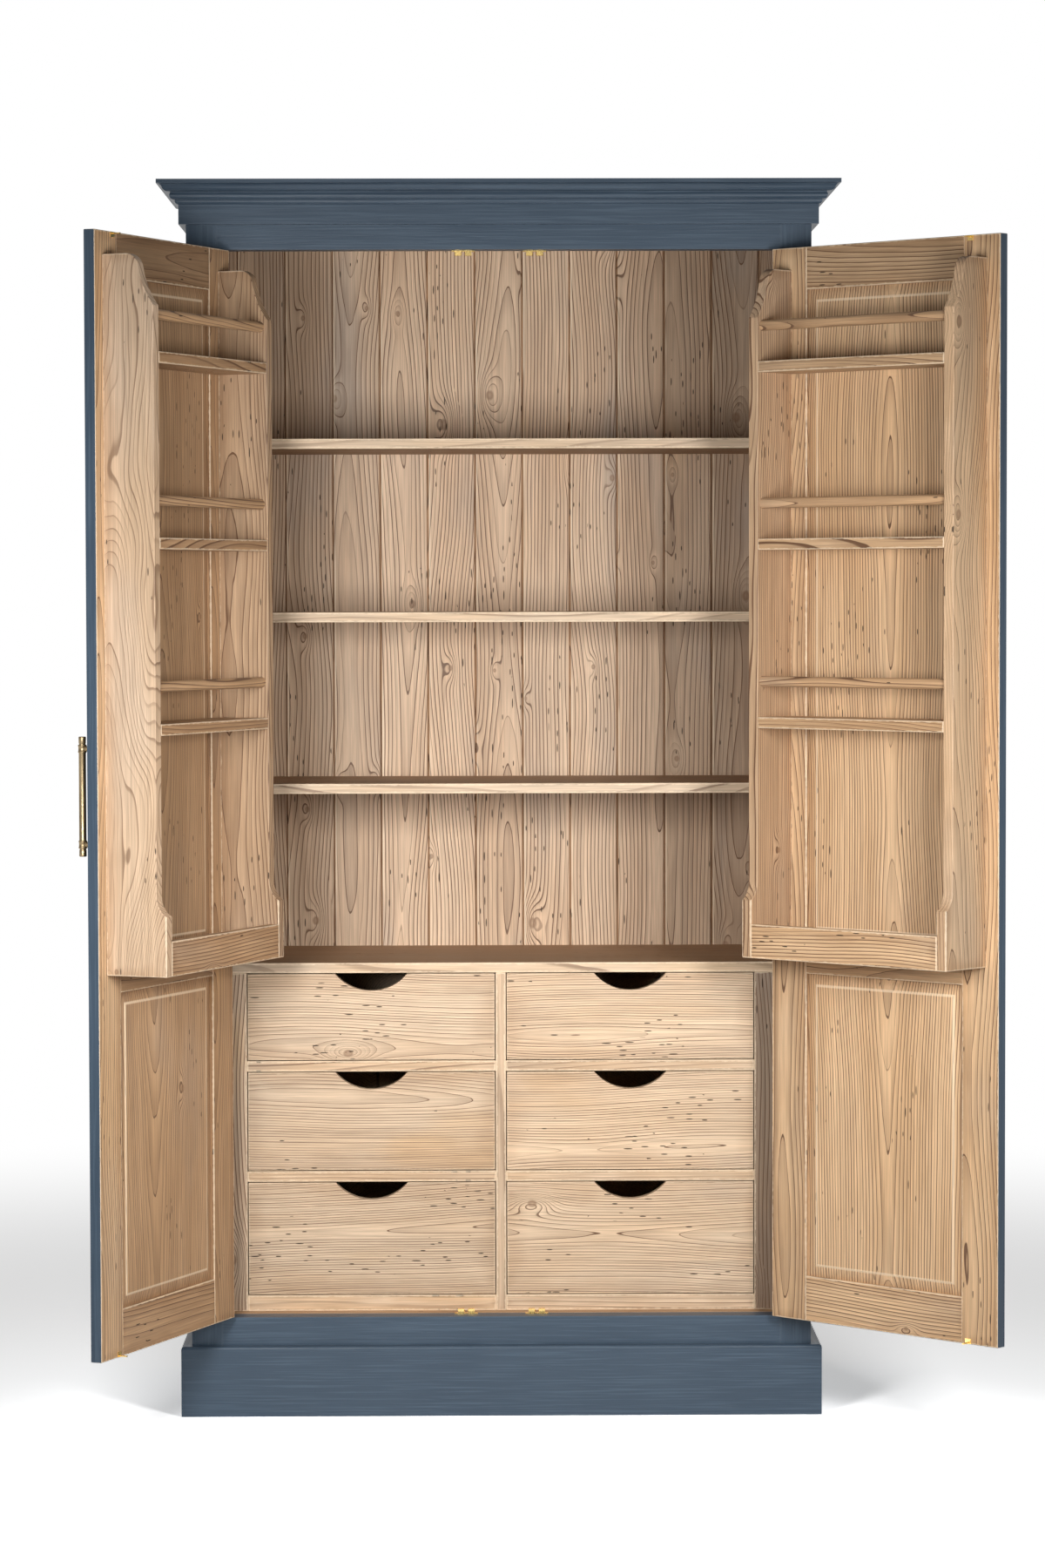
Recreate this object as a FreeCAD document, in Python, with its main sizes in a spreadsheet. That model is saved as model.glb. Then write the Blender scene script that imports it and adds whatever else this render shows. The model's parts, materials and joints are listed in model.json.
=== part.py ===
import FreeCAD, Part
import math
import os
import Sketcher

# A free-standing two-door larder cupboard: a painted outside with a cornice, face frame and plinth,
# a waxed pine inside with a boarded back, three set-back shelves, a worktop over six drawers, and a
# spice rack with scrolled cheeks on the inner face of each door. The doors stand open at rest.
# X runs to the right, Y into the cupboard and Z up. The origin is on the floor, under the middle of
# the front plinth board.

doc = FreeCAD.newDocument("LarderCupboard")
sheet = doc.addObject("Spreadsheet::Sheet", "Sizes")

# Every size in millimetres and every angle in degrees. All heights are above the floor.
sizes = {
    # carcass
    "overall_height": 2150,
    "body_width": 1084,
    "body_depth": 452,
    "side_thick": 20,
    "floor_top": 172,
    "floor_thick": 20,
    "top_thick": 18,
    "housing_deep": 6,
    # boarded back
    "back_thick": 12,
    "back_rabbet": 10,
    "back_low": 100,
    "back_board_pitch": 87,
    "back_tongue_long": 6,
    "back_tongue_thick": 4,
    "back_vee": 2,
    "back_joint_play": 0.4,
    # face frame
    "frame_thick": 38,
    "stile_wide": 53,
    "top_rail_tall": 98,
    "bottom_rail_tall": 90,
    # plinth and frieze boards
    "plinth_thick": 18,
    "plinth_tall": 123,
    "plinth_round": 5,
    "frieze_tall": 55,
    "frieze_thick": 12,
    # cornice moulding, stepped and measured down from its top, which stands above the carcass
    "cornice_rise": 20,
    "cornice_reach": 36,
    "cornice_fillet": 7,
    "cornice_ogee_reach": 17,
    "cornice_ogee_drop": 20,
    "cornice_bead_top_reach": 13,
    "cornice_bead_top_drop": 22,
    "cornice_bead_reach": 9,
    "cornice_bead_drop": 33,
    "cornice_small_reach": 5.5,
    "cornice_small_drop": 34,
    "cornice_drop": 41,
    "cornice_ogee_radius": 10,
    "cornice_bead_radius": 7,
    "cornice_small_radius": 6,
    # shelves
    "shelf_thick": 18,
    "shelf_clear": 7,
    # drawer unit
    "unit_setback": 64,
    "worktop_top": 788,
    "worktop_thick": 18,
    "upright_thick": 18,
    "unit_stile_wide": 75,
    "unit_stile_thick": 20,
    "rail_tall": 19,
    "rail_deep": 60,
    "base_rail_tall": 28,
    "runner_wide": 20,
    "row_top_tall": 155,
    "row_middle_tall": 176,
    # drawers
    "drawer_gap": 1.5,
    "drawer_lift": 0.5,
    "drawer_back_gap": 26,
    "drawer_front_thick": 18,
    "drawer_side_thick": 12,
    "drawer_side_drop": 14,
    "drawer_bottom_thick": 6,
    "drawer_bottom_up": 8,
    "drawer_groove_deep": 5,
    "drawer_play": 0.2,
    "moon_chord": 127,
    "moon_deep": 30,
    # doors
    "left_rest_angle": 113.4,
    "right_rest_angle": 136.8,
    "door_gap": 1.5,
    "door_foot_gap": 2.5,
    "door_head_gap": 2,
    "door_thick": 20,
    "door_stile_wide": 76,
    "door_top_rail": 73,
    "door_bottom_rail": 78.5,
    "lock_rail_drop": 9,
    "lock_rail_tall": 60,
    "groove_deep": 8,
    "groove_wide": 6,
    "groove_play": 0.2,
    "field_margin": 20,
    "field_proud": 4,
    "field_step": 1,
    # hinges
    "pin_proud": 4,
    "pin_radius": 2,
    "pin_play": 0.05,
    "knuckle_radius": 4.5,
    "knuckle_play": 0.2,
    "leaf_thick": 2,
    "leaf_wide": 18,
    "leaf_notch": 1.2,
    "hinge_tall": 76,
    "hinge_inset": 170,
    # spice racks, depths measured from the inner face of the door
    "rack_hinge_inset": 24,
    "rack_free_inset": 26,
    "cheek_thick": 20,
    "cheek_deep": 93,
    "cheek_foot_deep": 111,
    "rack_lift": 23,
    "rack_head_gap": 41,
    "cheek_crown_deep": 42,
    "cheek_shoulder_deep": 65.5,
    "cheek_shoulder_drop": 20,
    "cheek_sweep_drop": 85,
    "cheek_foot_tall": 99,
    "cheek_cove_tall": 32,
    "rack_shelf_thick": 19,
    "rack_board_tall": 58,
    "dowel_radius": 9,
    "dowel_play": 0.3,
    "dowel_let_in": 8,
    "dowel_front_wall": 5,
    "dowel_lift": 61,
    # bar handles
    "handle_long": 198,
    "handle_low": 1005,
    "handle_centres": 158,
    "handle_radius": 5.5,
    "handle_standoff": 30,
    "handle_inset": 40,
    "collar_radius": 7.2,
    "collar_tall": 12.5,
    "tip_radius": 6.2,
    "tip_tall": 5,
    "post_radius": 4.5,
    "rose_radius": 9,
    "rose_thick": 3,
    # ball catches and strikes
    "catch_offset": 62,
    "catch_plate_long": 40,
    "catch_plate_thick": 1.5,
    "catch_wide": 12,
    "catch_block_long": 11,
    "catch_block_tall": 7,
    "catch_slot": 7,
    "catch_setback": 26,
    "ball_radius": 2.5,
    "ball_proud": 1.2,
    "strike_wide": 12,
    "strike_tall": 9,
    "strike_thick": 1.2,
    "strike_inset": 0.5,
    "tongue_wide": 4,
    "tongue_thick": 2,
    "tongue_long": 15,
    # shared
    "arris": 1,
    "overrun": 5,
}


class Size:
    # a size that carries its sheet formula beside its number, so that sums of sizes stay bound

    def __init__(self, formula, number):
        self.formula = formula
        self.number = number

    def join(self, sign, other, number):
        return Size("(%s %s %s)" % (self.formula, sign, other.formula), number)

    def __add__(self, other):
        other = as_size(other)
        return self.join("+", other, self.number + other.number)

    def __sub__(self, other):
        other = as_size(other)
        return self.join("-", other, self.number - other.number)

    def __rsub__(self, other):
        return as_size(other) - self

    def __mul__(self, other):
        other = as_size(other)
        return self.join("*", other, self.number * other.number)

    def __truediv__(self, other):
        other = as_size(other)
        return self.join("/", other, self.number / other.number)

    def __neg__(self):
        return Size("(-%s)" % self.formula, -self.number)

    __radd__ = __add__
    __rmul__ = __mul__


def as_size(value):
    return value if isinstance(value, Size) else Size(repr(value), value)


for row, (name, number) in enumerate(sizes.items(), start=1):
    sheet.set("A%d" % row, name)
    sheet.set("B%d" % row, str(number))
    sheet.setAlias("B%d" % row, name)
doc.recompute()


class Sheet:
    # s.name gives the size of that name

    def __getattr__(self, name):
        return Size("Sizes." + name, sizes[name])


s = Sheet()

# Where shelves stand, as shares of the clear height that they divide: the cupboard's shelves between
# the worktop and the top panel, and the rack's between its foot and its top
shelf_shares = {"lower": 0.2364, "middle": 0.4653, "upper": 0.6964}
rack_shelf_shares = (0.3500, 0.6085, 0.8653)

# Planes that many pieces share
face_y = s.plinth_thick / 2
back_y = face_y + s.body_depth
back_inner_y = back_y - s.back_thick
frame_back_y = face_y + s.frame_thick
half = s.body_width / 2
inner_half = half - s.side_thick
opening_half = half - s.stile_wide
carcass_top = s.overall_height - s.cornice_rise
top_panel_low = carcass_top - s.top_thick
opening_top = carcass_top - s.top_rail_tall
shelf_y = face_y + s.door_thick + s.cheek_deep + s.shelf_clear
shelf_deep = back_inner_y - shelf_y
shelf_tops = {name: s.worktop_top + (top_panel_low - s.worktop_top) * share
              for name, share in shelf_shares.items()}
unit_y = face_y + s.unit_setback
unit_deep = back_inner_y - unit_y
unit_half = inner_half - s.unit_stile_wide
unit_top = s.worktop_top - s.worktop_thick

# Hinge axes, in the middle of the gap beside each door and a little proud of the face frame
pin_x = opening_half - s.door_gap / 2
pin_y = face_y - s.pin_proud
door_edge = s.door_gap / 2
door_far = pin_x - s.door_gap / 2
door_outer = s.pin_proud
door_inner = s.pin_proud + s.door_thick
door_low = s.floor_top + s.door_foot_gap
door_high = opening_top - s.door_head_gap
hinge_feet = [
    door_low + s.hinge_inset,
    (door_low + door_high) / 2 - s.hinge_tall / 2,
    door_high - s.hinge_inset - s.hinge_tall,
]

knuckles = 3

rack_low = s.worktop_top + s.rack_lift
rack_top = opening_top - s.rack_head_gap
rack_shelf_tops = [rack_low + (rack_top - rack_low) * share for share in rack_shelf_shares]

nodes = {}
cuts = []


def bind(item, **formulas):
    # ties properties to the sheet; two underscores stand for a dot in a property's name
    for prop, size in formulas.items():
        item.setExpression(prop.replace("__", "."), as_size(size).formula)


class Piece:
    # one solid, made as a body and placed by its seat: the carcass, or a door turned about its pin

    def __init__(self, seat=None):
        self.body = doc.addObject("PartDesign::Body", "Piece")
        if seat:
            x, y, angle = seat
            self.body.Placement.Rotation = FreeCAD.Rotation(FreeCAD.Vector(0, 0, 1), angle.number)
            bind(self.body, Placement__Base__x=x, Placement__Base__y=y, Placement__Rotation__Angle=angle)

    def block(self, kind, x, y, z, wide, deep, tall):
        box = self.body.newObject("PartDesign::" + kind, "Block")
        bind(box, Length=wide, Width=deep, Height=tall)
        bind(box, Placement__Base__x=x, Placement__Base__y=y, Placement__Base__z=z)
        return self.done(box)

    def add(self, *place):
        return self.block("AdditiveBox", *place)

    def cut(self, *place):
        return self.block("SubtractiveBox", *place)

    def round(self, kind, axis, x, y, z, radius, long):
        turns = {"X": (0, 1, 0, 90), "Y": (1, 0, 0, -90), "Z": (0, 0, 1, 0)}
        tx, ty, tz, turn = turns[axis]
        rod = self.body.newObject("PartDesign::" + kind, "Round")
        rod.Placement.Rotation = FreeCAD.Rotation(FreeCAD.Vector(tx, ty, tz), turn)
        bind(rod, Radius=radius, Height=long)
        bind(rod, Placement__Base__x=x, Placement__Base__y=y, Placement__Base__z=z)
        return self.done(rod)

    def add_round(self, *place):
        return self.round("AdditiveCylinder", *place)

    def cut_round(self, *place):
        return self.round("SubtractiveCylinder", *place)

    def ease(self, size=None):
        # takes the sharp arris off every edge made so far
        chamfer = self.body.newObject("PartDesign::Chamfer", "Ease")
        chamfer.Base = (self.last, [""])
        chamfer.UseAllEdges = True
        bind(chamfer, Size=size or s.arris)
        return self.done(chamfer)

    def sketch(self, plane, points, shift=None, bulges=None, smooth=()):
        # A closed outline. Each corner is held by its two distances from the origin. A bulge is the
        # radius of the arc that leaves that corner, below zero to curve the other way, or just the
        # side of its centre where a smooth corner, met without a kink, settles the radius.
        bulges = bulges or {}
        outline = self.body.newObject("Sketcher::SketchObject", "Outline")
        role = [plane_item for plane_item in self.body.Origin.OriginFeatures if plane_item.Role == plane]
        outline.AttachmentSupport = [(role[0], "")]
        outline.MapMode = "FlatFace"
        if shift:
            for axis, size in zip("xyz", shift):
                outline.setExpression("AttachmentOffset.Base." + axis, as_size(size).formula)
        count = len(points)
        for index, (across, up) in enumerate(points):
            start = FreeCAD.Vector(as_size(across).number, as_size(up).number, 0)
            after = points[(index + 1) % count]
            end = FreeCAD.Vector(as_size(after[0]).number, as_size(after[1]).number, 0)
            if index in bulges:
                outline.addGeometry(arc_between(start, end, bulges[index]), False)
            else:
                outline.addGeometry(Part.LineSegment(start, end), False)
        starts = [2 if index in bulges and turns_right(bulges[index]) else 1 for index in range(count)]
        finishes = [1 if start == 2 else 2 for start in starts]
        for index in range(count):
            after = (index + 1) % count
            kind = "Tangent" if after in smooth else "Coincident"
            outline.addConstraint(
                Sketcher.Constraint(kind, index, finishes[index], after, starts[after]))
        for index, (across, up) in enumerate(points):
            for way, size in (("DistanceX", as_size(across)), ("DistanceY", as_size(up))):
                held = outline.addConstraint(
                    Sketcher.Constraint(way, -1, 1, index, starts[index], size.number))
                outline.setExpression("Constraints[%d]" % held, size.formula)
            if isinstance(bulges.get(index), Size):
                radius = -bulges[index] if turns_right(bulges[index]) else bulges[index]
                held = outline.addConstraint(Sketcher.Constraint("Radius", index, radius.number))
                outline.setExpression("Constraints[%d]" % held, radius.formula)
        return outline

    def pad(self, outline, length):
        pad = self.body.newObject("PartDesign::Pad", "Pad")
        pad.Profile = outline
        bind(pad, Length=length)
        return self.done(pad)

    def pocket_through(self, outline):
        pocket = self.body.newObject("PartDesign::Pocket", "Pocket")
        pocket.Profile = outline
        pocket.Type = "ThroughAll"
        cuts.append((self.last, pocket))
        return self.done(pocket)

    def turn(self, outline):
        turned = self.body.newObject("PartDesign::Revolution", "Turned")
        turned.Profile = outline
        turned.ReferenceAxis = (outline, ["V_Axis"])
        turned.Angle = 360
        return self.done(turned)

    def ball(self, x, y, z, radius):
        sphere = self.body.newObject("PartDesign::AdditiveSphere", "Ball")
        bind(sphere, Radius=radius, Placement__Base__x=x, Placement__Base__y=y, Placement__Base__z=z)
        return self.done(sphere)

    def field(self, y, rise, rim, top):
        # a raised field with sloping margins that stands off the plane y by rise, below zero to stand
        # off it the other way; rim and top give its two outlines by their low and high corners
        wedge = self.body.newObject("PartDesign::AdditiveWedge", "Field")
        start, end = (y, y + rise) if rise.number > 0 else (y + rise, y)
        near, far = (rim, top) if rise.number > 0 else (top, rim)
        bind(wedge, Ymin=start, Xmin=near[0][0], Xmax=near[1][0], Zmin=near[0][1], Zmax=near[1][1])
        bind(wedge, Ymax=end, X2min=far[0][0], X2max=far[1][0], Z2min=far[0][1], Z2max=far[1][1])
        return self.done(wedge)

    def done(self, feature):
        self.last = feature
        return self


def turns_right(bulge):
    return bulge.number < 0 if isinstance(bulge, Size) else bulge == "right"


def arc_between(start, end, bulge):
    # the shorter arc between two points, its centre on the left of the way from start to end, or on
    # the right where the bulge says so
    chord = end - start
    radius = bulge.number if isinstance(bulge, Size) else chord.Length
    radius = -abs(radius) if turns_right(bulge) else radius
    middle = (start + end) / 2
    left = FreeCAD.Vector(-chord.y, chord.x, 0).normalize()
    rise = math.sqrt(radius ** 2 - (chord.Length / 2) ** 2)
    centre = middle + left * math.copysign(rise, radius)
    first, last = (start, end) if radius > 0 else (end, start)
    angles = [math.atan2(point.y - centre.y, point.x - centre.x) for point in (first, last)]
    circle = Part.Circle(centre, FreeCAD.Vector(0, 0, 1), abs(radius))
    return Part.ArcOfCircle(circle, angles[0], angles[1])


def node(name, *pieces):
    # a node is one piece, or a group of like pieces kept as separate solids
    if len(pieces) == 1:
        item = pieces[0].body
    else:
        item = doc.addObject("Part::Compound", "Group")
        item.Links = [piece.body for piece in pieces]
    item.Label = name
    nodes[name] = item


def board(x, y, z, wide, deep, tall, seat=None, eased=True):
    piece = Piece(seat).add(x, y, z, wide, deep, tall)
    return piece.ease() if eased else piece


# Carcass

def make_carcass():
    inner_deep = back_inner_y - frame_back_y
    node("floor_board", board(-inner_half, frame_back_y, s.floor_top - s.floor_thick,
                              inner_half * 2, inner_deep, s.floor_thick, eased=False))
    node("top_panel", board(-inner_half, frame_back_y, top_panel_low, inner_half * 2, inner_deep,
                            s.top_thick, eased=False))
    for side, name in ((-1, "side_left"), (1, "side_right")):
        x = -half if side < 0 else inner_half
        side_board = Piece().add(x, frame_back_y, 0, s.side_thick, back_y - frame_back_y, carcass_top)
        rabbet_x = -inner_half - s.back_rabbet if side < 0 else inner_half
        side_board.cut(rabbet_x, back_inner_y, s.back_low, s.back_rabbet, s.back_thick,
                       carcass_top - s.back_low)
        housing_x = -inner_half - s.housing_deep if side < 0 else inner_half
        for top in shelf_tops.values():
            side_board.cut(housing_x, shelf_y, top - s.shelf_thick, s.housing_deep, shelf_deep,
                           s.shelf_thick)
        node(name, side_board)
    shelf_half = inner_half + s.housing_deep
    for name, top in shelf_tops.items():
        node("shelf_" + name, board(-shelf_half, shelf_y, top - s.shelf_thick, shelf_half * 2, shelf_deep,
                                    s.shelf_thick))


def make_back():
    # Tongued boards with a vee at each joint, worked out from the middle, the outer two ripped narrower
    count = 2 * math.ceil(((inner_half + s.back_rabbet) / s.back_board_pitch).number - 1 / 2) + 1
    edge = inner_half + s.back_rabbet - s.back_joint_play
    tongue_y = back_inner_y + (s.back_thick - s.back_tongue_thick) / 2
    boards = []
    for index in range(count):
        step = index - (count - 1) / 2
        left = (step - 1 / 2) * s.back_board_pitch if index > 0 else -edge
        right = (step + 1 / 2) * s.back_board_pitch - s.back_joint_play if index < count - 1 else edge
        plank = Piece()
        front = [(left, back_inner_y), (right, back_inner_y)]
        if index > 0:
            front = [(left, back_inner_y + s.back_vee), (left + s.back_vee, back_inner_y), front[1]]
        if index < count - 1:
            front = front[:-1] + [(right - s.back_vee, back_inner_y), (right, back_inner_y + s.back_vee)]
        outline = plank.sketch("XY_Plane", front + [(right, back_y), (left, back_y)], (0, 0, s.back_low))
        tall = carcass_top - s.back_low
        plank.pad(outline, tall)
        if index > 0:
            plank.cut(left - s.overrun, tongue_y - s.back_joint_play / 2, s.back_low,
                      s.overrun + s.back_tongue_long + s.back_joint_play,
                      s.back_tongue_thick + s.back_joint_play, tall)
        if index < count - 1:
            plank.add(right, tongue_y, s.back_low, s.back_tongue_long, s.back_tongue_thick, tall)
        boards.append(plank)
    node("back_boards", *boards)


def make_face_frame():
    stiles = []
    for side in (-1, 1):
        x = -half if side < 0 else opening_half
        stile = Piece().add(x, face_y, 0, s.stile_wide, s.frame_thick, carcass_top)
        recess_x = -opening_half - s.leaf_thick if side < 0 else opening_half
        for foot in hinge_feet:
            stile.cut(recess_x, face_y, foot - s.knuckle_play, s.leaf_thick, s.leaf_wide + s.knuckle_play,
                      s.hinge_tall + s.knuckle_play * 2)
        stiles.append(stile)
    node("frame_stiles", *stiles)
    node("frame_rail_top", board(-opening_half, face_y, opening_top, opening_half * 2, s.frame_thick,
                                 s.top_rail_tall, eased=False))
    node("frame_rail_bottom", board(-opening_half, face_y, s.floor_top - s.bottom_rail_tall,
                                    opening_half * 2, s.frame_thick, s.bottom_rail_tall, eased=False))


def mitred_run(front_name, returns_name, profile, reach, bulges=None):
    # A moulding carried round the front and both sides with mitred corners. The profile gives each
    # corner's distance out from the body and its height.
    over = reach + s.overrun
    outline = [(face_y - out, up) for out, up in profile]
    front = Piece()
    mirrored = {index: -radius for index, radius in (bulges or {}).items()}
    front.pad(front.sketch("YZ_Plane", outline, (0, 0, -half - reach), mirrored), (half + reach) * 2)
    above = (0, 0, s.overall_height + s.overrun)
    for side in (-1, 1):
        wedge = [(side * half, face_y), (side * (half + over), face_y - over),
                 (side * (half + over), face_y + s.overrun)]
        front.pocket_through(front.sketch("XY_Plane", wedge, above))
    node(front_name, front)
    returns = []
    for side in (-1, 1):
        run = Piece()
        outline = [(side * (half + out), up) for out, up in profile]
        turned = {index: radius * side for index, radius in (bulges or {}).items()}
        run.pad(run.sketch("XZ_Plane", outline, (0, 0, -back_y), turned), s.body_depth + reach)
        wedge = [(side * half, face_y), (side * (half + over), face_y - over),
                 (side * (half - s.overrun), face_y - over)]
        run.pocket_through(run.sketch("XY_Plane", wedge, above))
        returns.append(run)
    node(returns_name, *returns)


def make_mouldings():
    plinth_shoulder = s.plinth_tall - s.plinth_round
    mitred_run("plinth_front", "plinth_returns",
               [(0, 0), (s.plinth_thick, 0), (s.plinth_thick, plinth_shoulder),
                (s.plinth_thick - s.plinth_round, s.plinth_tall), (0, s.plinth_tall)],
               s.plinth_thick, {2: s.plinth_round})
    frieze_low = carcass_top - s.frieze_tall
    mitred_run("frieze_front", "frieze_returns",
               [(0, frieze_low), (s.frieze_thick, frieze_low), (s.frieze_thick, carcass_top),
                (0, carcass_top)], s.frieze_thick)
    top = s.overall_height
    base = s.frieze_thick
    middle_out = base + (s.cornice_reach + s.cornice_ogee_reach) / 2
    middle_up = top - (s.cornice_fillet + s.cornice_ogee_drop) / 2
    profile = [
        (base, top - s.cornice_drop),
        (base + s.cornice_small_reach, top - s.cornice_small_drop),
        (base + s.cornice_small_reach, top - s.cornice_bead_drop),
        (base + s.cornice_bead_reach, top - s.cornice_bead_drop),
        (base + s.cornice_bead_top_reach, top - s.cornice_bead_top_drop),
        (base + s.cornice_bead_top_reach, top - s.cornice_ogee_drop),
        (base + s.cornice_ogee_reach, top - s.cornice_ogee_drop),
        (middle_out, middle_up),
        (base + s.cornice_reach, top - s.cornice_fillet),
        (base + s.cornice_reach, top),
        (base, top),
    ]
    bulges = {0: s.cornice_small_radius, 3: s.cornice_bead_radius, 6: s.cornice_ogee_radius,
              7: -s.cornice_ogee_radius}
    mitred_run("cornice_front", "cornice_returns", profile, base + s.cornice_reach, bulges)


# Drawer unit

def drawer_rows():
    # the low and high edge of each row's opening, from the top row down
    low_top = unit_top - s.row_top_tall
    high_middle = low_top - s.rail_tall
    low_middle = high_middle - s.row_middle_tall
    high_base = low_middle - s.rail_tall
    return [("top", low_top, unit_top), ("middle", low_middle, high_middle),
            ("base", s.floor_top + s.base_rail_tall, high_base)]


def unit_columns():
    return [("left", -unit_half, -s.upright_thick / 2), ("right", s.upright_thick / 2, unit_half)]


def make_drawer_unit():
    unit_tall = unit_top - s.floor_top
    node("worktop", board(-inner_half, unit_y, unit_top, inner_half * 2, unit_deep, s.worktop_thick))
    behind = unit_y + s.unit_stile_thick
    side_deep = unit_deep - s.unit_stile_thick
    node("drawer_unit_stiles",
         board(-inner_half, unit_y, s.floor_top, s.unit_stile_wide, s.unit_stile_thick, unit_tall),
         board(unit_half, unit_y, s.floor_top, s.unit_stile_wide, s.unit_stile_thick, unit_tall))
    node("drawer_unit_uprights",
         board(-unit_half - s.upright_thick, behind, s.floor_top, s.upright_thick, side_deep, unit_tall,
               eased=False),
         board(-s.upright_thick / 2, unit_y, s.floor_top, s.upright_thick, unit_deep, unit_tall),
         board(unit_half, behind, s.floor_top, s.upright_thick, side_deep, unit_tall, eased=False))
    rails = []
    runners = []
    runner_y = unit_y + s.rail_deep
    for _, left, right in unit_columns():
        for row, low, _ in drawer_rows():
            tall = s.base_rail_tall if row == "base" else s.rail_tall
            rails.append(board(left, unit_y, low - tall, right - left, s.rail_deep, tall))
            for x in (left, right - s.runner_wide):
                runners.append(board(x, runner_y, low - tall, s.runner_wide, back_inner_y - runner_y, tall,
                                     eased=False))
    node("drawer_rails", *rails)
    node("drawer_runners", *runners)


def make_drawer(name, left, right, low, high):
    x = left + s.drawer_gap
    wide = right - left - s.drawer_gap * 2
    front_low = low + s.drawer_gap
    front_high = high - s.drawer_gap
    box_y = unit_y + s.drawer_front_thick
    box_low = low + s.drawer_lift
    box_high = front_high - s.drawer_side_drop
    box_deep = unit_deep - s.drawer_back_gap - s.drawer_front_thick
    moon_radius = (s.moon_chord * s.moon_chord / 4 + s.moon_deep * s.moon_deep) / (s.moon_deep * 2)
    moon_z = front_high - s.moon_deep + moon_radius
    groove_z = box_low + s.drawer_bottom_up
    front = board(x, unit_y, front_low, wide, s.drawer_front_thick, front_high - front_low)
    front.cut_round("Y", (left + right) / 2, unit_y - s.overrun, moon_z, moon_radius,
                    s.drawer_front_thick + s.overrun * 2)
    groove_tall = s.drawer_bottom_thick + s.drawer_play * 2
    inset = s.drawer_side_thick - s.drawer_groove_deep
    front.cut(x + inset, box_y - s.drawer_groove_deep, groove_z - s.drawer_play, wide - inset * 2,
              s.drawer_groove_deep + s.overrun, groove_tall)
    node(name + "_front", front)
    parts = []
    for side in (-1, 1):
        side_x = x if side < 0 else x + wide - s.drawer_side_thick
        side_board = board(side_x, box_y, box_low, s.drawer_side_thick, box_deep, box_high - box_low,
                           eased=False)
        groove_x = x + inset if side < 0 else x + wide - s.drawer_side_thick - s.overrun
        side_board.cut(groove_x, box_y - s.overrun, groove_z - s.drawer_play,
                       s.drawer_groove_deep + s.overrun, box_deep + s.overrun * 2, groove_tall)
        parts.append(side_board)
    panel_top = groove_z + s.drawer_bottom_thick
    parts.append(board(x + s.drawer_side_thick, box_y + box_deep - s.drawer_side_thick, panel_top,
                       wide - s.drawer_side_thick * 2, s.drawer_side_thick, box_high - panel_top,
                       eased=False))
    parts.append(board(x + inset + s.drawer_play, box_y - s.drawer_groove_deep + s.drawer_play, groove_z,
                       wide - inset * 2 - s.drawer_play * 2,
                       box_deep + s.drawer_groove_deep - s.drawer_play, s.drawer_bottom_thick,
                       eased=False))
    node(name + "_box", *parts)


def make_drawers():
    for column, left, right in unit_columns():
        for row, low, high in drawer_rows():
            make_drawer("drawer_%s_%s" % (column, row), left, right, low, high)


# Doors. Each is drawn closed, from its pin outwards, and then turned to its resting angle.

class Door:

    def __init__(self, hand):
        self.hand = hand
        self.name = "door_left" if hand < 0 else "door_right"
        angle = -s.left_rest_angle if hand < 0 else s.right_rest_angle
        self.seat = (pin_x if hand > 0 else -pin_x, pin_y, angle)

    def x(self, out, wide):
        # the low edge of something that starts at a distance out from the pin
        return out if self.hand < 0 else -out - wide

    def piece(self):
        return Piece(self.seat)

    def board(self, out, deep_from, z, wide, deep, tall, eased=True):
        return board(self.x(out, wide), deep_from, z, wide, deep, tall, self.seat, eased)

    def node(self, name, *pieces):
        node("%s_%s" % (self.name, name), *pieces)


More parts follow.
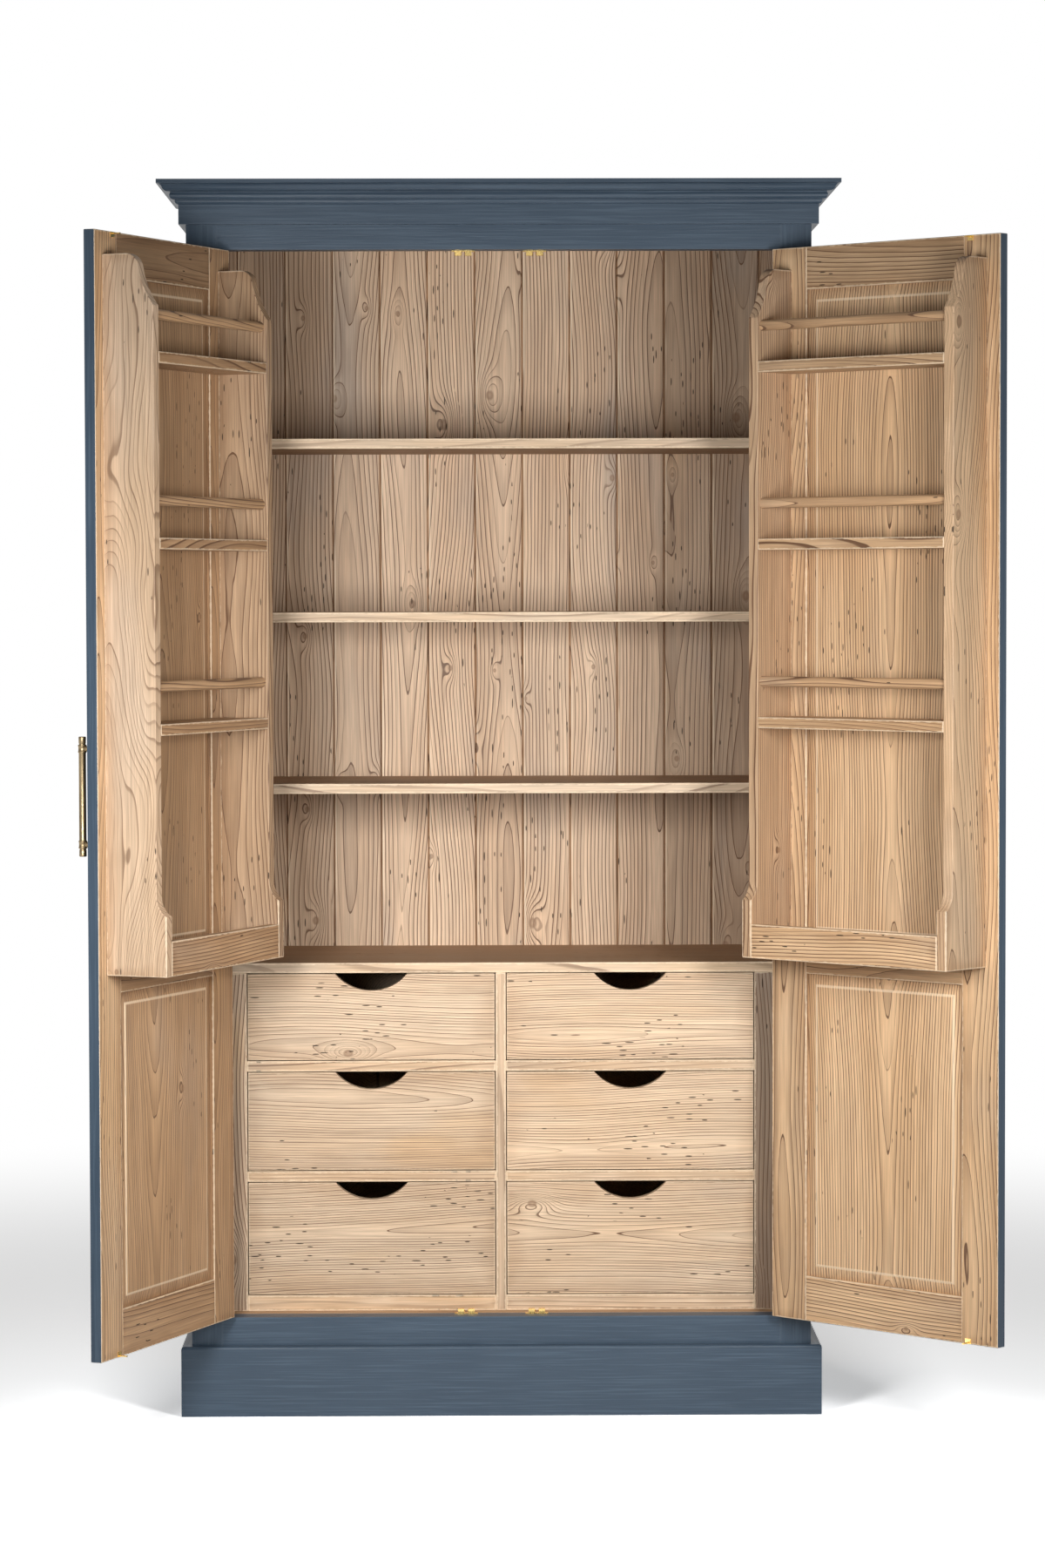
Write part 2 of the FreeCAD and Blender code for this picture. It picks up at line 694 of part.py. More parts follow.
def make_door_frame(door):
    tall = door_high - door_low
    groove_in = door_outer + (s.door_thick - s.groove_wide) / 2
    inner_edge = door_edge + s.door_stile_wide
    far_inner = door_far - s.door_stile_wide
    span = far_inner - inner_edge
    lock_low = s.worktop_top - s.lock_rail_drop
    lock_high = lock_low + s.lock_rail_tall

    hinge_stile = door.board(door_edge, door_outer, door_low, s.door_stile_wide, s.door_thick, tall)
    hinge_stile.cut(door.x(inner_edge - s.groove_deep, s.groove_deep + s.overrun), groove_in, door_low,
                    s.groove_deep + s.overrun, s.groove_wide, tall)
    for foot in hinge_feet:
        hinge_stile.cut(door.x(door_edge - s.overrun, s.leaf_thick + s.overrun), door_outer - s.overrun,
                        foot - s.knuckle_play, s.leaf_thick + s.overrun,
                        s.leaf_wide + s.knuckle_play + s.overrun, s.hinge_tall + s.knuckle_play * 2)
    door.node("stile_hinge", hinge_stile)

    free_stile = door.board(far_inner, door_outer, door_low, s.door_stile_wide, s.door_thick, tall)
    free_stile.cut(door.x(far_inner - s.overrun, s.groove_deep + s.overrun), groove_in, door_low,
                   s.groove_deep + s.overrun, s.groove_wide, tall)
    door.node("stile_free", free_stile)

    rails = []
    tongue_y = groove_in + s.groove_play
    tongue_deep = s.groove_wide - s.groove_play * 2
    tongue_long = s.groove_deep - s.groove_play
    for low, high in ((door_low, door_low + s.door_bottom_rail), (lock_low, lock_high),
                      (door_high - s.door_top_rail, door_high)):
        rail = door.board(inner_edge, door_outer, low, span, s.door_thick, high - low)
        if low is not door_low:
            rail.cut(door.x(inner_edge, span), groove_in, low - s.overrun, span, s.groove_wide,
                     s.groove_deep + s.overrun)
        if high is not door_high:
            rail.cut(door.x(inner_edge, span), groove_in, high - s.groove_deep, span, s.groove_wide,
                     s.groove_deep + s.overrun)
        stub_low = low if low is door_low else low + s.groove_deep
        stub_high = high if high is door_high else high - s.groove_deep
        rail.add(door.x(inner_edge - tongue_long, tongue_long * 2 + span), tongue_y, stub_low,
                 tongue_long * 2 + span, tongue_deep, stub_high - stub_low)
        rails.append(rail)
    door.node("rails", *rails)

    panels = []
    for low, high in ((door_low + s.door_bottom_rail, lock_low),
                      (lock_high, door_high - s.door_top_rail)):
        panel = door.board(inner_edge - tongue_long, tongue_y, low - tongue_long, span + tongue_long * 2,
                           tongue_deep, high - low + tongue_long * 2, eased=False)
        for face in (-1, 1):
            start = tongue_y if face < 0 else tongue_y + tongue_deep
            shrink = s.field_margin
            rim = [(door.x(inner_edge, span) + s.groove_play, low + s.groove_play),
                   (door.x(inner_edge, span) + span - s.groove_play, high - s.groove_play)]
            field = [(rim[0][0] + shrink, rim[0][1] + shrink), (rim[1][0] - shrink, rim[1][1] - shrink)]
            slope = s.field_proud - s.field_step
            panel.field(start, face * slope, rim, field)
            step_y = start + slope if face > 0 else start - s.field_proud
            panel.add(field[0][0], step_y, field[0][1], field[1][0] - field[0][0], s.field_step,
                      field[1][1] - field[0][1])
        panels.append(panel)
    door.node("panels", *panels)


def make_rack(door):
    near = door_edge + s.rack_hinge_inset
    far = door_far - s.rack_free_inset
    between = far - near - s.cheek_thick * 2
    inner_near = near + s.cheek_thick
    dowel_y = door_inner + s.cheek_deep - s.dowel_front_wall - s.dowel_radius
    foot_top = rack_low + s.cheek_foot_tall
    profile = [
        (0, rack_low),
        (s.cheek_foot_deep, rack_low),
        (s.cheek_foot_deep, foot_top),
        (s.cheek_deep, foot_top + s.cheek_cove_tall),
        (s.cheek_deep, rack_top - s.cheek_sweep_drop),
        (s.cheek_shoulder_deep, rack_top - s.cheek_shoulder_drop),
        (s.cheek_crown_deep, rack_top),
        (0, rack_top),
    ]
    bulges = {2: "right", 4: "right", 5: "left"}
    outline = [(door_inner + out, up) for out, up in profile]
    for name, out in (("rack_cheek_hinge", near), ("rack_cheek_free", far - s.cheek_thick)):
        cheek = door.piece()
        low_x = door.x(out, s.cheek_thick)
        cheek.pad(cheek.sketch("YZ_Plane", outline, (0, 0, low_x), bulges, (3, 5, 6)), s.cheek_thick)
        cheek.ease()
        hole_out = out + s.cheek_thick - s.dowel_let_in if out is near else out - s.overrun
        hole_long = s.dowel_let_in + s.overrun
        for top in rack_shelf_tops:
            cheek.cut_round("X", door.x(hole_out, hole_long), dowel_y, top + s.dowel_lift,
                            s.dowel_radius + s.dowel_play, hole_long)
        door.node(name, cheek)
    shelves = [door.board(inner_near, door_inner, top - s.rack_shelf_thick, between, s.cheek_deep,
                          s.rack_shelf_thick)
               for top in rack_shelf_tops]
    shelves.append(door.board(inner_near, door_inner, rack_low, between, s.cheek_deep, s.rack_shelf_thick))
    door.node("rack_shelves", *shelves)
    door.node("rack_front_board", door.board(inner_near, door_inner + s.cheek_deep, rack_low, between,
                                             s.cheek_foot_deep - s.cheek_deep, s.rack_board_tall))
    rod_out = inner_near - s.dowel_let_in + s.dowel_play
    rod_long = between + (s.dowel_let_in - s.dowel_play) * 2
    rods = [door.piece().add_round("X", door.x(rod_out, rod_long), dowel_y, top + s.dowel_lift,
                                   s.dowel_radius, rod_long)
            for top in rack_shelf_tops]
    door.node("rack_rods", *rods)


def make_handle(door):
    out = door_far - s.handle_inset
    bar_y = door_outer - s.handle_standoff
    middle = s.handle_low + s.handle_long / 2
    x = door.x(out, 0)
    reach = s.handle_long / 2
    centre = s.handle_centres / 2
    collar_in = centre - s.collar_tall / 2
    collar_out = centre + s.collar_tall / 2
    upper = [
        (s.handle_radius, collar_in),
        (s.collar_radius, collar_in),
        (s.collar_radius, collar_out),
        (s.handle_radius, collar_out),
        (s.handle_radius, reach - s.tip_tall),
        (s.tip_radius, reach),
    ]
    lower = [(radius, -up) for radius, up in reversed(upper)]
    bar = door.piece()
    shift = (x, middle, -bar_y)
    bar.turn(bar.sketch("XZ_Plane", [(0, -reach)] + lower + upper + [(0, reach)], shift))
    posts = []
    for way in (-1, 1):
        z = middle + centre * way
        post = door.piece().add_round("Y", x, bar_y, z, s.post_radius, s.handle_standoff)
        post.add_round("Y", x, door_outer - s.rose_thick, z, s.rose_radius, s.rose_thick)
        post.cut_round("Z", x, bar_y, z - s.collar_tall, s.collar_radius, s.collar_tall * 2)
        posts.append(post)
    door.node("handle", bar, *posts)


def knuckle_spans(first):
    # the knuckles of a butt hinge share its height; a leaf owns every second one
    step = s.hinge_tall / knuckles
    return [(step * index + s.knuckle_play / 2, step - s.knuckle_play)
            for index in range(first, knuckles, 2)]


def make_hinges(door):
    # the door's leaf turns on a pin that the fixed leaf's knuckles hold
    plate_y = door_outer + s.leaf_notch
    web_deep = plate_y + s.leaf_thick
    moving = []
    for foot in hinge_feet:
        leaf = door.piece().add(door.x(door_edge, s.leaf_thick), plate_y, foot, s.leaf_thick,
                                s.leaf_wide - s.leaf_notch, s.hinge_tall)
        for up, tall in knuckle_spans(1):
            leaf.add(door.x(door_edge, s.leaf_thick), 0, foot + up, s.leaf_thick, web_deep, tall)
            leaf.add_round("Z", 0, 0, foot + up, s.knuckle_radius, tall)
            leaf.cut_round("Z", 0, 0, foot + up - s.overrun, s.pin_radius + s.pin_play,
                           tall + s.overrun * 2)
        moving.append(leaf)
    door.node("hinge_leaves", *moving)
    fixed = []
    x, y, _ = door.seat
    plate_x = x - door_edge - s.leaf_thick if door.hand < 0 else x + door_edge
    for foot in hinge_feet:
        leaf = Piece().add(plate_x, y + plate_y, foot, s.leaf_thick, s.leaf_wide - s.leaf_notch,
                           s.hinge_tall)
        for up, tall in knuckle_spans(0):
            leaf.add(plate_x, y, foot + up, s.leaf_thick, web_deep, tall)
            leaf.add_round("Z", x, y, foot + up, s.knuckle_radius, tall)
        leaf.add_round("Z", x, y, foot + s.knuckle_play / 2, s.pin_radius,
                       s.hinge_tall - s.knuckle_play)
        fixed.append(leaf)
    return fixed


def make_strikes(door):
    # a plate on the door's inner face with a tongue that runs in between the two balls of its catch
    out = pin_x - s.catch_offset
    level = s.catch_plate_thick + s.catch_block_tall / 2
    strikes = []
    for end in (-1, 1):
        if end < 0:
            plate_z = door_low + s.strike_inset
            tongue_z = s.floor_top + level
        else:
            plate_z = door_high - s.strike_inset - s.strike_tall
            tongue_z = opening_top - level
        strike = door.piece().add(door.x(out - s.strike_wide / 2, s.strike_wide), door_inner, plate_z,
                                  s.strike_wide, s.strike_thick, s.strike_tall)
        strike.add(door.x(out - s.tongue_wide / 2, s.tongue_wide), door_inner,
                   tongue_z - s.tongue_thick / 2, s.tongue_wide, s.tongue_long, s.tongue_thick)
        strikes.append(strike)
    door.node("strikes", *strikes)


def make_catches():
    # four double ball catches: a plate, two blocks with a slot between them, and a ball that stands
    # proud of each block
    catches = []
    y = face_y + s.catch_setback
    for top in (False, True):
        base = opening_top - s.catch_plate_thick if top else s.floor_top
        block_z = base - s.catch_block_tall if top else base + s.catch_plate_thick
        for side in (-1, 1):
            middle = side * s.catch_offset
            catch = Piece().add(middle - s.catch_plate_long / 2, y, base, s.catch_plate_long, s.catch_wide,
                                s.catch_plate_thick)
            for way in (-1, 1):
                mouth = middle + way * s.catch_slot / 2
                x = mouth - s.catch_block_long if way < 0 else mouth
                catch.add(x, y, block_z, s.catch_block_long, s.catch_wide, s.catch_block_tall)
                catch.ball(mouth + way * (s.ball_radius - s.ball_proud), y + s.catch_wide / 2,
                           block_z + s.catch_block_tall / 2, s.ball_radius)
            catches.append(catch)
    node("ball_catches", *catches)


def make_doors():
    fixed = []
    for hand in (-1, 1):
        door = Door(hand)
        make_door_frame(door)
        make_rack(door)
        make_handle(door)
        fixed += make_hinges(door)
        make_strikes(door)
    node("hinge_leaves_fixed", *fixed)


def check_and_write():
    doc.recompute()
    for item in doc.Objects:
        if "Invalid" in item.State or "Error" in item.State:
            raise RuntimeError("%s failed: %s" % (item.Label, item.State))
    for before, after in cuts:
        if after.Shape.Volume >= before.Shape.Volume:
            raise RuntimeError("%s cut nothing" % after.Label)
    for name, item in nodes.items():
        if item.Shape.isNull() or not item.Shape.isValid():
            raise RuntimeError("%s has no valid shape" % name)
    os.makedirs("parts", exist_ok=True)
    for name, item in nodes.items():
        item.Shape.exportStep("parts/%s.step" % name)
    print("%d nodes, %d solids" % (len(nodes), sum(len(item.Shape.Solids) for item in nodes.values())))


make_carcass()
make_back()
make_face_frame()
make_mouldings()
make_drawer_unit()
make_drawers()
make_doors()
make_catches()
check_and_write()
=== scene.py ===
import json
import math
import bpy
import numpy as np
from mathutils import Matrix, Vector


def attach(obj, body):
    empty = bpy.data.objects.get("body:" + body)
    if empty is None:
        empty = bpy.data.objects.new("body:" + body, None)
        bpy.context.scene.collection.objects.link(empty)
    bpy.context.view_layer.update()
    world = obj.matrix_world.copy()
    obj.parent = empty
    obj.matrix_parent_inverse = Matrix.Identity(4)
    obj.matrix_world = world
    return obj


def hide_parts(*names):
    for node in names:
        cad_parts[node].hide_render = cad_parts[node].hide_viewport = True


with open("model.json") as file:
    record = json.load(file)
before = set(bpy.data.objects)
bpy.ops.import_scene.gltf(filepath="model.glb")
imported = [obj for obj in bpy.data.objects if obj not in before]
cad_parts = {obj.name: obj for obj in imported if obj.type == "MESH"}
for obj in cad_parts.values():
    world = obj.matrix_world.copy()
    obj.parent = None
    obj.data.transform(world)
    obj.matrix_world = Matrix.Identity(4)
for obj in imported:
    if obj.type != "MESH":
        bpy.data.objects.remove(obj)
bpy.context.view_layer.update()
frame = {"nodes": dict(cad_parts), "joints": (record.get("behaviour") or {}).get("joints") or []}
print("frame loaded")


def operator(operation, flip=False):
    def apply(self, other):
        first, second = (other, self) if flip else (self, other)
        return self.sheet.maths(operation, first, second)
    return apply


# how often each noise repeats in a metre across a board, through it and along it (or along x, y and z),
# its detail and roughness, and what it adds to the seed
noises = {
    "drift": (0.0, 0.0, 2.1, 0.0, 0.5, 3.1),
    "lean": (0.0, 0.0, 1.1, 0.0, 0.5, 8.3),
    "sway": (12.0, 12.0, 3.2, 1.0, 0.5, 0.0),
    "shiver": (60.0, 60.0, 6.0, 2.0, 0.5, 0.0),
    "fibre": (640.0, 640.0, 12.0, 2.0, 0.6, 0.0),
    "streak": (240.0, 240.0, 3.0, 3.0, 0.7, 1.7),
    "cluster": (11.0, 4.0, 5.0, 1.0, 0.5, 7.7),
    "tone": (14.0, 14.0, 2.4, 3.0, 0.55, 5.3),
    "patch": (7.0, 7.0, 2.6, 2.0, 0.5, 11.9),
    "raggedEdge": (90.0, 90.0, 90.0, 2.0, 0.6, 0.0),
    "broadEdge": (9.0, 9.0, 9.0, 2.0, 0.6, 0.0),
    "brokenLine": (20.0, 1.0, 6.0, 2.0, 0.6, 0.0),
    "stroke": (340.0, 340.0, 7.0, 2.0, 0.6, 0.0),
    "sweep": (90.0, 90.0, 2.0, 2.0, 0.6, 4.0),
    "paintCloud": (5.0, 5.0, 5.0, 3.0, 0.55, 0.0),
    "patina": (60.0, 60.0, 60.0, 3.0, 0.6, 0.0),
    "scratches": (900.0, 900.0, 260.0, 2.0, 0.5, 0.0),
}


class Wire:
    # a value on its way through a node tree; sums of wires become math nodes

    def __init__(self, sheet, socket):
        self.sheet = sheet
        self.socket = socket

    __add__ = __radd__ = operator("ADD")
    __sub__ = operator("SUBTRACT")
    __rsub__ = operator("SUBTRACT", True)
    __mul__ = __rmul__ = operator("MULTIPLY")
    __truediv__ = operator("DIVIDE")
    __lt__ = operator("LESS_THAN")
    __gt__ = operator("GREATER_THAN")


class Sheet:
    # a node tree being filled in; wires and plain values are both fine as inputs

    def __init__(self, tree):
        self.tree = tree

    def put(self, kind, inputs=(), **settings):
        node = self.tree.nodes.new(kind)
        for key, value in settings.items():
            setattr(node, key, value)
        for key, value in dict(inputs).items():
            self.feed(node.inputs[key], value)
        return node

    def feed(self, socket, value):
        if isinstance(value, Wire):
            self.tree.links.new(value.socket, socket)
        else:
            socket.default_value = value

    def out(self, node, key=0):
        return Wire(self, node.outputs[key])

    def maths(self, operation, *values):
        return self.out(self.put("ShaderNodeMath", enumerate(values), operation=operation))

    def vectors(self, operation, *values):
        return self.out(self.put("ShaderNodeVectorMath", enumerate(values), operation=operation))

    def least(self, first, *others):
        for other in others:
            first = self.maths("MINIMUM", first, other)
        return first

    def most(self, first, *others):
        for other in others:
            first = self.maths("MAXIMUM", first, other)
        return first

    def root(self, value):
        return self.maths("SQRT", value)

    def step(self, value, low, high):
        # 0 below low, 1 above high, smooth between
        return self.out(self.put("ShaderNodeMapRange", {"Value": value, "From Min": low, "From Max": high},
                                 interpolation_type="SMOOTHSTEP"))

    def between(self, value, low, high, toLow, toHigh):
        return self.out(self.put("ShaderNodeMapRange", {"Value": value, "From Min": low, "From Max": high,
                                                        "To Min": toLow, "To Max": toHigh}))

    def join(self, x, y, z):
        return self.out(self.put("ShaderNodeCombineXYZ", {0: x, 1: y, 2: z}))

    def split(self, vector):
        node = self.put("ShaderNodeSeparateXYZ", {0: vector})
        return [self.out(node, index) for index in range(3)]

    def noise(self, name, place, seed=0.0):
        # a noise from the table, at a place given by its three wires
        *scales, detail, roughness, shift = noises[name]
        vector = self.join(*(value * scale for value, scale in zip(place, scales)))
        return self.out(self.put("ShaderNodeTexNoise", {"Vector": vector, "W": seed + shift, "Scale": 1.0,
                                                        "Detail": detail, "Roughness": roughness},
                                 noise_dimensions="4D"))

    def chance(self, value):
        # three random numbers that belong to a value
        node = self.put("ShaderNodeTexWhiteNoise", {"W": value}, noise_dimensions="1D")
        return self.split(self.out(node, "Color"))

    def cells(self, vector, dimensions, randomness):
        node = self.put("ShaderNodeTexVoronoi", {"Vector": vector, "Scale": 1.0, "Randomness": randomness},
                        voronoi_dimensions=dimensions)
        return self.split(self.out(node, "Position")), self.split(self.out(node, "Color"))

    def colour(self, factor, a, b, blend="MIX"):
        node = self.put("ShaderNodeMix", data_type="RGBA", blend_type=blend)
        for index, value in ((0, factor), (6, a), (7, b)):
            if isinstance(value, tuple) and len(value) == 3:
                value = (*value, 1)
            self.feed(node.inputs[index], value)
        return self.out(node, 2)

    def blend(self, factor, a, b):
        return self.out(self.put("ShaderNodeMix", {0: factor, 2: a, 3: b}))

    def use(self, group, inputs):
        node = self.put("ShaderNodeGroup", inputs, node_tree=group)
        return {socket.name: Wire(self, socket) for socket in node.outputs}


def newGroup(name, inputs, outputs):
    # a node group with named inputs and outputs: three numbers make a vector, four a colour
    tree = bpy.data.node_groups.new(name, "ShaderNodeTree")
    for key, value in inputs.items():
        kind = {3: "Vector", 4: "Color"}[len(value)] if isinstance(value, tuple) else "Float"
        socket = tree.interface.new_socket(key, in_out="INPUT", socket_type="NodeSocket" + kind)
        socket.default_value = value
    for key in outputs:
        kind = "Color" if key == "Color" else "Float"
        tree.interface.new_socket(key, in_out="OUTPUT", socket_type="NodeSocket" + kind)
    sheet = Sheet(tree)
    start = sheet.put("NodeGroupInput")
    given = {socket.name: Wire(sheet, socket) for socket in start.outputs if socket.name}
    end = sheet.put("NodeGroupOutput")

    def finish(**results):
        for key, value in results.items():
            sheet.feed(end.inputs[key], value)
        return tree
    return sheet, given, finish


# lengths in metres; the pairs cell, scatter and bend are across the grain and along it, other pairs are
# where a change begins and ends, and fours give the values there too
knots = {
    "cell": (0.1, 0.3),
    "scatter": (7.0, 9.0),
    "radius": (0.0, 1.0, 0.003, 0.009),
    "bend": (2.3, 5.0),
    "swell": 3.4,
    "long": 1.35,
    "ragged": 0.7,
    "rim": (0.55, 1.1),
    "shade": (0.0, 0.9, 0.55, 1.0),
}
rings = {
    "aside": 0.13,
    "lean": 0.07,
    "deep": (0.0, 1.0, 0.010, 0.050),
    "shiver": 0.0018,
    "strength": (0.0, 1.0, 0.35, 1.0),
    "leastSlope": 0.16,
    "lineEnd": (0.12, 0.36),
    "lineStart": (0.0, 0.04),
    "wash": (0.1, 1.0),
    "washShare": 0.25,
}
worms = {
    "cell": (0.017, 0.040),
    "thin": 17.0,
    "length": (0.0, 1.0, 9.0, 4.2),
    "rim": (0.5, 1.1),
    "cluster": (0.52, 0.66),
    "skin": 0.003,
}
heights = {"fibre": 0.3, "streak": 0.3, "late": 0.5, "mark": -2.5, "knot": -0.4}


def makePineGroup():
    # growth rings cut by the board's face, with knots, fibres, worm marks and slow changes of tone
    sheet, given, finish = newGroup(
        "pineGrain",
        {"Vector": (0.0, 0.0, 0.0), "Seed": 0.0, "Ring": 0.005, "Drift": 0.1, "Warp": 0.012, "Knots": 0.4,
         "Marks": 0.5, "Thick": 0.01},
        ("Late", "Fibre", "Streak", "Knot", "Mark", "Tone", "Patch", "Board", "Height"))
    place = u, v, w = sheet.split(given["Vector"])
    seed = given["Seed"]
    red, green, blue = sheet.chance(seed)
    drift, lean, sway, shiver, fibre, streak, cluster, tone, patch = (
        sheet.noise(name, place, seed)
        for name in ("drift", "lean", "sway", "shiver", "fibre", "streak", "cluster", "tone", "patch"))
    # knots: scattered cells, a few of which hold one
    nowU = u / knots["cell"][0] + red * knots["scatter"][0]
    nowW = w / knots["cell"][1] + green * knots["scatter"][1]
    (cellU, cellW, _), (pick, size, _) = sheet.cells(sheet.join(nowU, nowW, 0.0), "2D", 0.9)
    offU = (nowU - cellU) * knots["cell"][0]
    offW = (nowW - cellW) * knots["cell"][1]
    has = pick < given["Knots"]
    radius = sheet.between(size, *knots["radius"])
    nearU, nearW = (off / (radius * bend) for off, bend in zip((offU, offW), knots["bend"]))
    swell = sheet.maths("EXPONENT", (nearU * nearU + nearW * nearW) * -1.0) * has * radius * knots["swell"]
    # rings: distance from a pith under the face, which drifts in and out along the board
    across = u - (red - 0.5) * rings["aside"] - (lean - 0.5) * rings["lean"]
    deep = v + sheet.between(green, *rings["deep"])
    far = sheet.root(across * across + deep * deep)
    reach = (far + (drift - 0.5) * given["Drift"] + (sway - 0.5) * given["Warp"] +
             (shiver - 0.5) * rings["shiver"] - swell)
    turns = reach / given["Ring"]
    saw = sheet.maths("FRACT", turns)
    strong = sheet.between(sheet.chance(sheet.maths("FLOOR", turns))[0], *rings["strength"])
    # a line keeps its width where the face cuts the rings at a shallow angle
    slope = sheet.most(rings["leastSlope"], sheet.maths("ABSOLUTE", across) / far)
    share = (1.0 - saw) / slope
    line = (1.0 - sheet.step(share, *rings["lineEnd"])) * sheet.step(share, *rings["lineStart"])
    late = sheet.most(line, sheet.step(saw, *rings["wash"]) * rings["washShare"]) * strong
    # the knot itself, darker towards its rim
    coreU, coreW = offU / radius, offW / (radius * knots["long"])
    core = sheet.root(coreU * coreU + coreW * coreW) + (shiver - 0.5) * knots["ragged"]
    eye = (1.0 - sheet.step(core, *knots["rim"])) * has * sheet.between(core, *knots["shade"])
    # worm marks: short dashes along the grain, in clusters on the two wide faces
    dashU, dashW = u / worms["cell"][0], w / worms["cell"][1]
    (atU, atW, _), (luck, long, _) = sheet.cells(sheet.join(dashU, dashW, seed), "3D", 1.0)
    gapU = (dashU - atU) * worms["thin"]
    gapW = (dashW - atW) * sheet.between(long, *worms["length"])
    mark = (1.0 - sheet.step(gapU * gapU + gapW * gapW, *worms["rim"])) * (
        luck < sheet.step(cluster, *worms["cluster"]) * given["Marks"]) * (
        sheet.maths("ABSOLUTE", v) > given["Thick"] - worms["skin"])
    height = (fibre * heights["fibre"] + streak * heights["streak"] + late * heights["late"] +
              mark * heights["mark"] + eye * heights["knot"])
    return finish(Late=late, Fibre=fibre, Streak=streak, Knot=eye, Mark=mark, Tone=tone, Patch=patch,
                  Board=blue, Height=height)


edging = {
    "ragged": (0.25, 0.75, 0.35, 1.5),
    "broad": (0.3, 0.7, 0.4, 1.5),
    "core": 0.35,
}


def makeEdgeGroup():
    # nearness to an edge of a box: of the three distances to its faces, the middle one
    sheet, given, finish = newGroup(
        "boardEdge", {"Vector": (0.0, 0.0, 0.0), "Low": (0.0, 0.0, 0.0), "High": (1.0, 1.0, 1.0),
                      "Arris": 0.003, "Broad": 0.03}, ("Edge", "Rim"))
    place = sheet.split(given["Vector"])
    below = sheet.split(sheet.vectors("SUBTRACT", given["Vector"], given["Low"]))
    above = sheet.split(sheet.vectors("SUBTRACT", given["High"], given["Vector"]))
    x, y, z = (sheet.least(low, high) for low, high in zip(below, above))
    near = sheet.most(sheet.least(x, y), sheet.least(sheet.most(x, y), z))
    width = given["Arris"] * sheet.between(sheet.noise("raggedEdge", place), *edging["ragged"])
    broad = given["Broad"] * sheet.between(sheet.noise("broadEdge", place), *edging["broad"])
    return finish(Edge=1.0 - sheet.step(near, width * edging["core"], width),
                  Rim=1.0 - sheet.step(near, 0.0, broad))


pine = {
    "late": (0.17, 0.092, 0.050),
    "knot": (0.23, 0.125, 0.065),
    "mark": (0.035, 0.022, 0.014),
    "grey": (0.46, 0.40, 0.35),
    "orange": (0.84, 0.52, 0.24),
    "arris": (0.97, 0.80, 0.58),
    "rim": (0.55, 0.42, 0.31),
    "toHoney": (0.35, 0.68),
    "toGrey": (0.52, 0.75),
    "toOrange": (0.24, 0.36),
    "orangeShare": 0.4,
    "knotShare": 0.8,
    "markShare": 0.92,
    "fibreShade": (0.3, 0.7, 0.78, 1.12),
    "streakShade": (0.3, 0.7, 0.82, 1.10),
    "boardShade": (0.0, 1.0, 0.90, 1.06),
    "depth": 0.87,
    "roughness": 0.52,
    "fibreRough": 0.25,
    "lateRough": 0.08,
    "markRough": 0.2,
    "specular": 0.35,
    "bump": 0.0008,
    "bumpStrength": 0.7,
}


def makeToneGroup():
    # the colour and roughness of waxed pine from its grain
    sheet, given, finish = newGroup(
        "pineTone",
        {"Late": 0.0, "Fibre": 0.5, "Streak": 0.5, "Knot": 0.0, "Mark": 0.0, "Tone": 0.5, "Patch": 0.5,
         "Board": 0.5, "Edge": 0.0, "Rim": 0.0, "Contrast": 0.5, "Grey": 0.3, "Arris": 0.5, "StainAndShade": 0.3,
         "Pale": (0.86, 0.66, 0.46, 1.0), "Honey": (0.78, 0.56, 0.36, 1.0)},
        ("Color", "Roughness"))
    base = sheet.colour(sheet.step(given["Tone"], *pine["toHoney"]), given["Pale"], given["Honey"])
    base = sheet.colour(sheet.step(given["Patch"], *pine["toGrey"]) * given["Grey"], base, pine["grey"])
    orange = (1.0 - sheet.step(given["Patch"], *pine["toOrange"])) * pine["orangeShare"]
    base = sheet.colour(orange, base, pine["orange"])
    shade = (sheet.between(given["Fibre"], *pine["fibreShade"]) *
             sheet.between(given["Streak"], *pine["streakShade"]) *
             sheet.between(given["Board"], *pine["boardShade"])) * pine["depth"]
    base = sheet.colour(1.0, base, sheet.join(shade, shade, shade), "MULTIPLY")
    base = sheet.colour(given["Late"] * given["Contrast"], base, pine["late"])
    # the rim colour darkens stained edges, and on shelves it is painted shade on their upper and lower
    # faces
    stainedAndShaded = sheet.colour(1.0, base, pine["rim"], "MULTIPLY")
    base = sheet.colour(given["Rim"] * given["StainAndShade"], base, stainedAndShaded)
    base = sheet.colour(given["Knot"] * pine["knotShare"], base, pine["knot"])
    base = sheet.colour(given["Mark"] * pine["markShare"], base, pine["mark"])
    # a pale line along the edges: partly wear, partly a painted highlight where a rounded arris would catch
    # the light
    base = sheet.colour(given["Edge"] * given["Arris"], base, pine["arris"])
    rough = (pine["roughness"] + (given["Fibre"] - 0.5) * pine["fibreRough"] -
             given["Late"] * pine["lateRough"] + given["Mark"] * pine["markRough"])
    return finish(Color=base, Roughness=rough)


paint = {
    "body": (0.051, 0.079, 0.114),
    "deep": (0.042, 0.067, 0.099),
    "pale": (0.078, 0.115, 0.158),
    "wornHighlight": (0.150, 0.190, 0.230),
    "toBody": (0.3, 0.7),
    "stroke": (0.45, 0.72),
    "strokeShare": 0.75,
    "sweep": (0.55, 0.75),
    "sweepShare": 0.4,
    "lateShare": 0.35,
    "wornHighlightShare": 0.12,
    "roughness": 0.42,
    "strokeRough": 0.3,
    "grainHeight": 0.15,
    "strokeHeight": 0.5,
}


